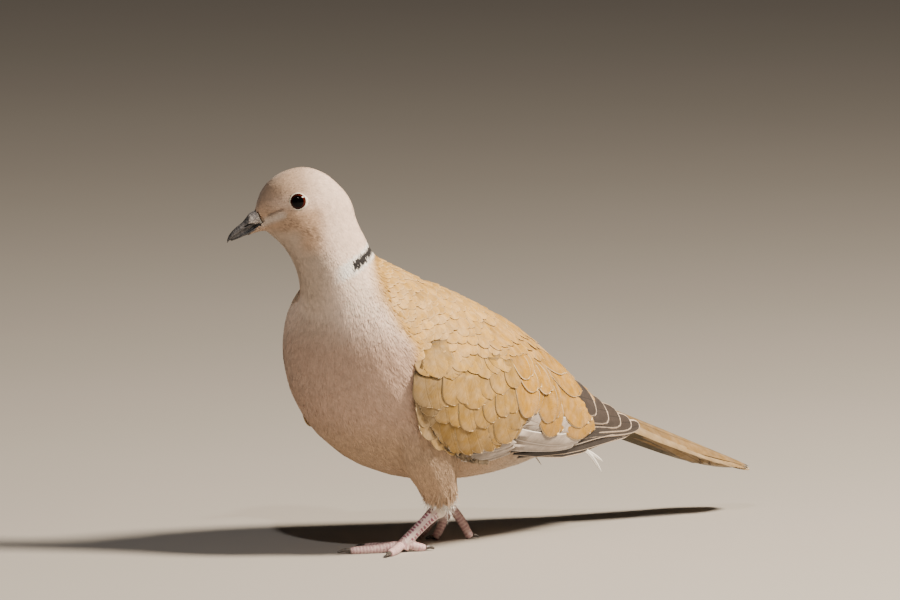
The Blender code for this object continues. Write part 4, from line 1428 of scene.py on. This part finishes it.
def eye_place(word):
    """An eye's middle, the way it looks and its radius."""
    low, high = box_of(word + "_eye")
    side = 1.0 if word == "left" else -1.0
    return (low + high) / 2, unit(head_way((side * 0.97, -0.22, 0.08))), float((high - low).max() / 2)


RING_INSIDE = 3.2  # the radius at which the bare ring meets the eye


def out_from(points, centre, axis):
    """The ways from an axis straight out to points."""
    off = points - centre
    return unit(off - np.outer(off @ axis, axis))


def spun(profile, centre, axis, steps=64):
    """Points and faces of a profile of (radius, height) rows, spun round an axis, and the turns."""
    side = unit(np.cross([0.0, 0.0, 1.0], axis))
    up = np.cross(axis, side)
    turn = np.arange(steps) * 2 * math.pi / steps
    ring = side[None] * np.cos(turn)[:, None] + up[None] * np.sin(turn)[:, None]
    points = [centre + ring * r + axis * h for r, h in profile]
    faces = []
    for start in range(0, (len(profile) - 1) * steps, steps):
        for j in range(steps):
            k = (j + 1) % steps
            faces.append([start + j, start + steps + j, start + steps + k, start + k])
    return np.concatenate(points), faces, turn


def make_eyeball(word, material):
    """An eye: a ball, a little fuller over the pupil, closed at the back."""
    centre, axis, radius = eye_place(word)
    angles = np.linspace(0.02, 2.2, 40)
    bulge = 1 + 0.05 * smoothstep(0.75, 0.2, angles)
    profile = [(radius * math.sin(a) * b, radius * math.cos(a) * b) for a, b in zip(angles, bulge)][::-1]
    points, faces, turn = spun(profile, centre, axis)
    steps = len(turn)
    faces.append(list(range(steps))[::-1])
    faces.append([len(points) - steps + k for k in range(steps)])
    ball = mesh_object(word + "_eyeball", points, faces, material)
    reach = np.repeat([r for r, _ in profile], steps)
    turns = np.tile(np.abs(turn - math.pi), len(profile))
    # How far the iris is lit, more toward the rear: painted light.
    rear = unit(head_way((0, 1.0, 0.3)))
    painted_iris_light = 0.35 + 0.65 * smoothstep(0.1, 0.9, out_from(points, centre, axis) @ rear)
    write_values(ball, "gaze", np.stack([reach, turns, painted_iris_light], 1))
    finish_piece(ball, "eye", word + "_eye")


def make_eye_ring(word, material):
    """The bare ring round an eye, a low fold of skin that runs in under the feathers."""
    centre, axis, radius = eye_place(word)
    # The ring bulges a little, and its edges run down: in to the ball, and out under the feathers.
    rim = []
    for t in np.linspace(0, 1, 15):
        r = RING_INSIDE + t
        over = math.sqrt(max(radius**2 - r**2, 0.0))
        rim.append((r, over + 0.34 * math.sin((0.15 + 0.8 * t) * math.pi)))
    first, last = rim[0][1], rim[-1][1]
    rim = [(3.25, first - 0.6)] + rim + [(4.6, last - 0.3), (5.0, last - 0.8), (5.4, last - 2.4)]
    points, faces, turn = spun(rim[::-1], centre, axis, 72)
    ring = mesh_object(word + "_eye_ring", points, faces, material)
    wide = 0.4 + smoothstep(-0.2, 0.8, out_from(points, centre, axis) @ RING_REAR)
    out = np.repeat([r for r, _ in rim[::-1]], len(turn)) - RING_INSIDE
    write_values(ring, "lid", smoothstep(0.15, -0.1, out - wide)[:, None] * [1, 0, 0])
    finish_piece(ring, "plumage_pink")


# The line between the halves of the bill, from the gape to the hook.
MOUTH = ((-64.5, 137.4), (-67.5, 137.2), (-71, 135.9), (-74.5, 133.7), (-77.6, 131.9), (-80.2, 130.2))
NOSTRIL = ((-74.9, 135.9), (-73.2, 136.7), (-71.4, 136.9))


def make_bill(material):
    """The bill: slate horn, a swollen pale cere over the nostrils and a hooked tip."""
    bill = remeshed(merged_copy("bill_horn", (BILL, 0.4)), 0.22, 4)
    points = points_of(bill)
    hx, hy, hz = in_head(points).T
    cere = smoothstep(-74.2, -72.6, hy) * smoothstep(136.2, 137.4, hz)
    nostril = smoothstep(0.6, 0.15, from_line(hy, hz, NOSTRIL)) * (np.abs(hx) > 1.0)
    mouth = smoothstep(0.34, 0.1, from_line(hy, hz, MOUTH)) * (np.abs(hx) > 0.5)
    inset = 0.42 - 0.4 * cere + 0.7 * nostril + 0.4 * mouth
    move_points(bill, points - point_normals(bill) * inset[:, None])
    applied(bill, ("SMOOTH", {"factor": 0.4, "iterations": 1}))
    painted(bill, material)
    write_values(bill, "bill", np.stack([cere, np.clip(nostril + 0.8 * mouth, 0, 1), 0 * cere], 1))
    finish_piece(bill, "bill_horn", *BILL)


TOES = ("middle", "inner", "outer", "hind")


def round_toes(points, toes):
    """Rounds each toe off round the root of its claw."""
    for node in toes:
        claw = points_of(frame["nodes"][node + "_claw"])
        middle = points_of(frame["nodes"][node]).mean(0)
        end = claw[np.linalg.norm(claw - middle, axis=1).argmin()]
        near = smoothstep(3.0, 0.8, np.linalg.norm(points - end, axis=1))
        points = points + (end - points) * (0.34 * near)[:, None]
    return points


def scutes(points, nodes):
    """How far along its shank or toe each point lies, its turn round it, and -1 on the toes."""
    along, turn, toe = np.zeros((3, len(points)))
    best = np.full(len(points), 1e9)
    for node in nodes:
        low, high = box_of(node)
        spots = points_of(frame["nodes"][node])
        middle = spots.mean(0)
        axis = np.linalg.svd(spots - middle, full_matrices=False)[2][0]
        off = points - middle
        run = off @ axis
        past = np.maximum(np.abs(run) - np.linalg.norm(high - low) / 2, 0)
        away = np.linalg.norm(off - run[:, None] * axis, axis=1) + past * 3
        side = unit(np.cross(axis, [0.0, 0.0, 1.0]))
        nearer = away < best
        best = np.where(nearer, away, best)
        along = np.where(nearer, run, along)
        turn = np.where(nearer, np.arctan2(off @ side, off @ np.cross(side, axis)), turn)
        toe = np.where(nearer, 0.0 if node.endswith("shank") else -1.0, toe)
    return along, turn, toe


def make_foot(word, skin_look, claw_look):
    """A shank with its toes as one skin, and the claws."""
    nodes = [word + "_shank"] + [f"{word}_{toe}_toe" for toe in TOES]
    toes = nodes[1:]
    foot = remeshed(merged_copy(word + "_foot", (nodes, 0.12)), 0.35, 9)
    points = points_of(foot)
    # The shank is a little thicker at the heel, where it meets the feathers.
    heel_gap = np.linalg.norm(points - HEELS[word], axis=1)
    move_points(foot, points + point_normals(foot) * (0.9 * smoothstep(4.6, 1.5, heel_gap))[:, None])
    points = round_toes(points_of(foot), toes)
    move_points(foot, points)
    painted(foot, skin_look)
    along, turn, toe = scutes(points, nodes)
    write_values(foot, "scute", np.stack([along, turn, toe + 2 * smoothstep(5.2, 3.6, heel_gap)], 1))
    finish_piece(foot, "leg_skin", *nodes)
    claws = [toe + "_claw" for toe in toes]
    horn = remeshed(merged_copy(word + "_claws", (claws, 0.2)), 0.16, 4)
    painted(horn, claw_look)
    finish_piece(horn, "claw_horn", *claws)


# ---------------------------------------------------------------------------- stage


CAMERA_AZIMUTH, CAMERA_ELEVATION = math.radians(46.0), math.radians(6.0)
CAMERA_DISTANCE = 8.0
VIEW_WIDTH = 0.369  # of what the camera sees at the bird, in metres
VIEW_CENTRE = (15.9, 12.0, 102.7)


def world(place):
    """A place in metres."""
    return Vector((np.array(place, float) - ORIGIN) * MM)


def make_camera():
    """A long lens from the bird's front left."""
    flat = math.cos(CAMERA_ELEVATION)
    back = Vector(
        (flat * math.sin(CAMERA_AZIMUTH), -flat * math.cos(CAMERA_AZIMUTH), math.sin(CAMERA_ELEVATION))
    )
    data = bpy.data.cameras.new("camera")
    data.sensor_width = 36.0
    data.lens = data.sensor_width * CAMERA_DISTANCE / VIEW_WIDTH
    data.clip_end = 50.0
    camera = bpy.data.objects.new("camera", data)
    camera.location = world(VIEW_CENTRE) + back * CAMERA_DISTANCE
    camera.rotation_euler = back.to_track_quat("Z", "Y").to_euler()
    bpy.context.scene.collection.objects.link(camera)
    bpy.context.scene.camera = camera


def area_light(name, way, distance, size, power, colour):
    """A soft light that shines on the bird from that way."""
    data = bpy.data.lights.new(name, "AREA")
    data.shape = "DISK"
    data.size = size
    data.energy = power
    data.color = colour
    lamp = bpy.data.objects.new(name, data)
    way = Vector(way).normalized()
    lamp.location = world((0, 20, 80)) + way * distance
    lamp.rotation_euler = way.to_track_quat("Z", "Y").to_euler()
    bpy.context.scene.collection.objects.link(lamp)


def make_stage():
    """A plain pale floor under soft light."""
    bpy.ops.mesh.primitive_circle_add(vertices=96, radius=6.0, fill_type="NGON")
    floor = bpy.context.active_object
    floor.name = "floor"
    n = Nodes("floor")
    colour = n.mix(n.grain(3.0), (0.40, 0.37, 0.34, 1), (0.43, 0.40, 0.37, 1))
    floor.data.materials.append(n.finish(colour, 0.9))
    floor.select_set(False)
    area_light("key", (0.59, 0.29, 0.74), 1.6, 0.34, 80.0, (1.0, 0.87, 0.70))
    area_light("catch", (0.55, -0.55, 0.75), 1.2, 0.05, 4.5, (1.0, 0.95, 0.9))
    surroundings = bpy.data.worlds.new("surroundings")
    surroundings.use_nodes = True
    surroundings.node_tree.nodes["Background"].inputs["Color"].default_value = (0.9, 0.87, 0.82, 1)
    surroundings.node_tree.nodes["Background"].inputs["Strength"].default_value = 0.034
    bpy.context.scene.world = surroundings


def main():
    """Builds the dove, its camera and its stage."""
    soft, firm = plumage_material(), vane_material()
    make_skin(skin_material())
    make_soft_coat(soft)
    wing_surface = charted()
    make_wings(firm, wing_surface)
    make_back(firm, wing_surface)
    make_tail(firm)
    make_tail_underside(firm)
    eye_look, lid_look = eye_material(), lid_material()
    for word in SIDES:
        make_eyeball(word, eye_look)
        make_eye_ring(word, lid_look)
    make_bill(bill_material())
    leg_look, claw_look = leg_material(), claw_material()
    for word in SIDES:
        make_foot(word, leg_look, claw_look)
    make_camera()
    make_stage()


main()
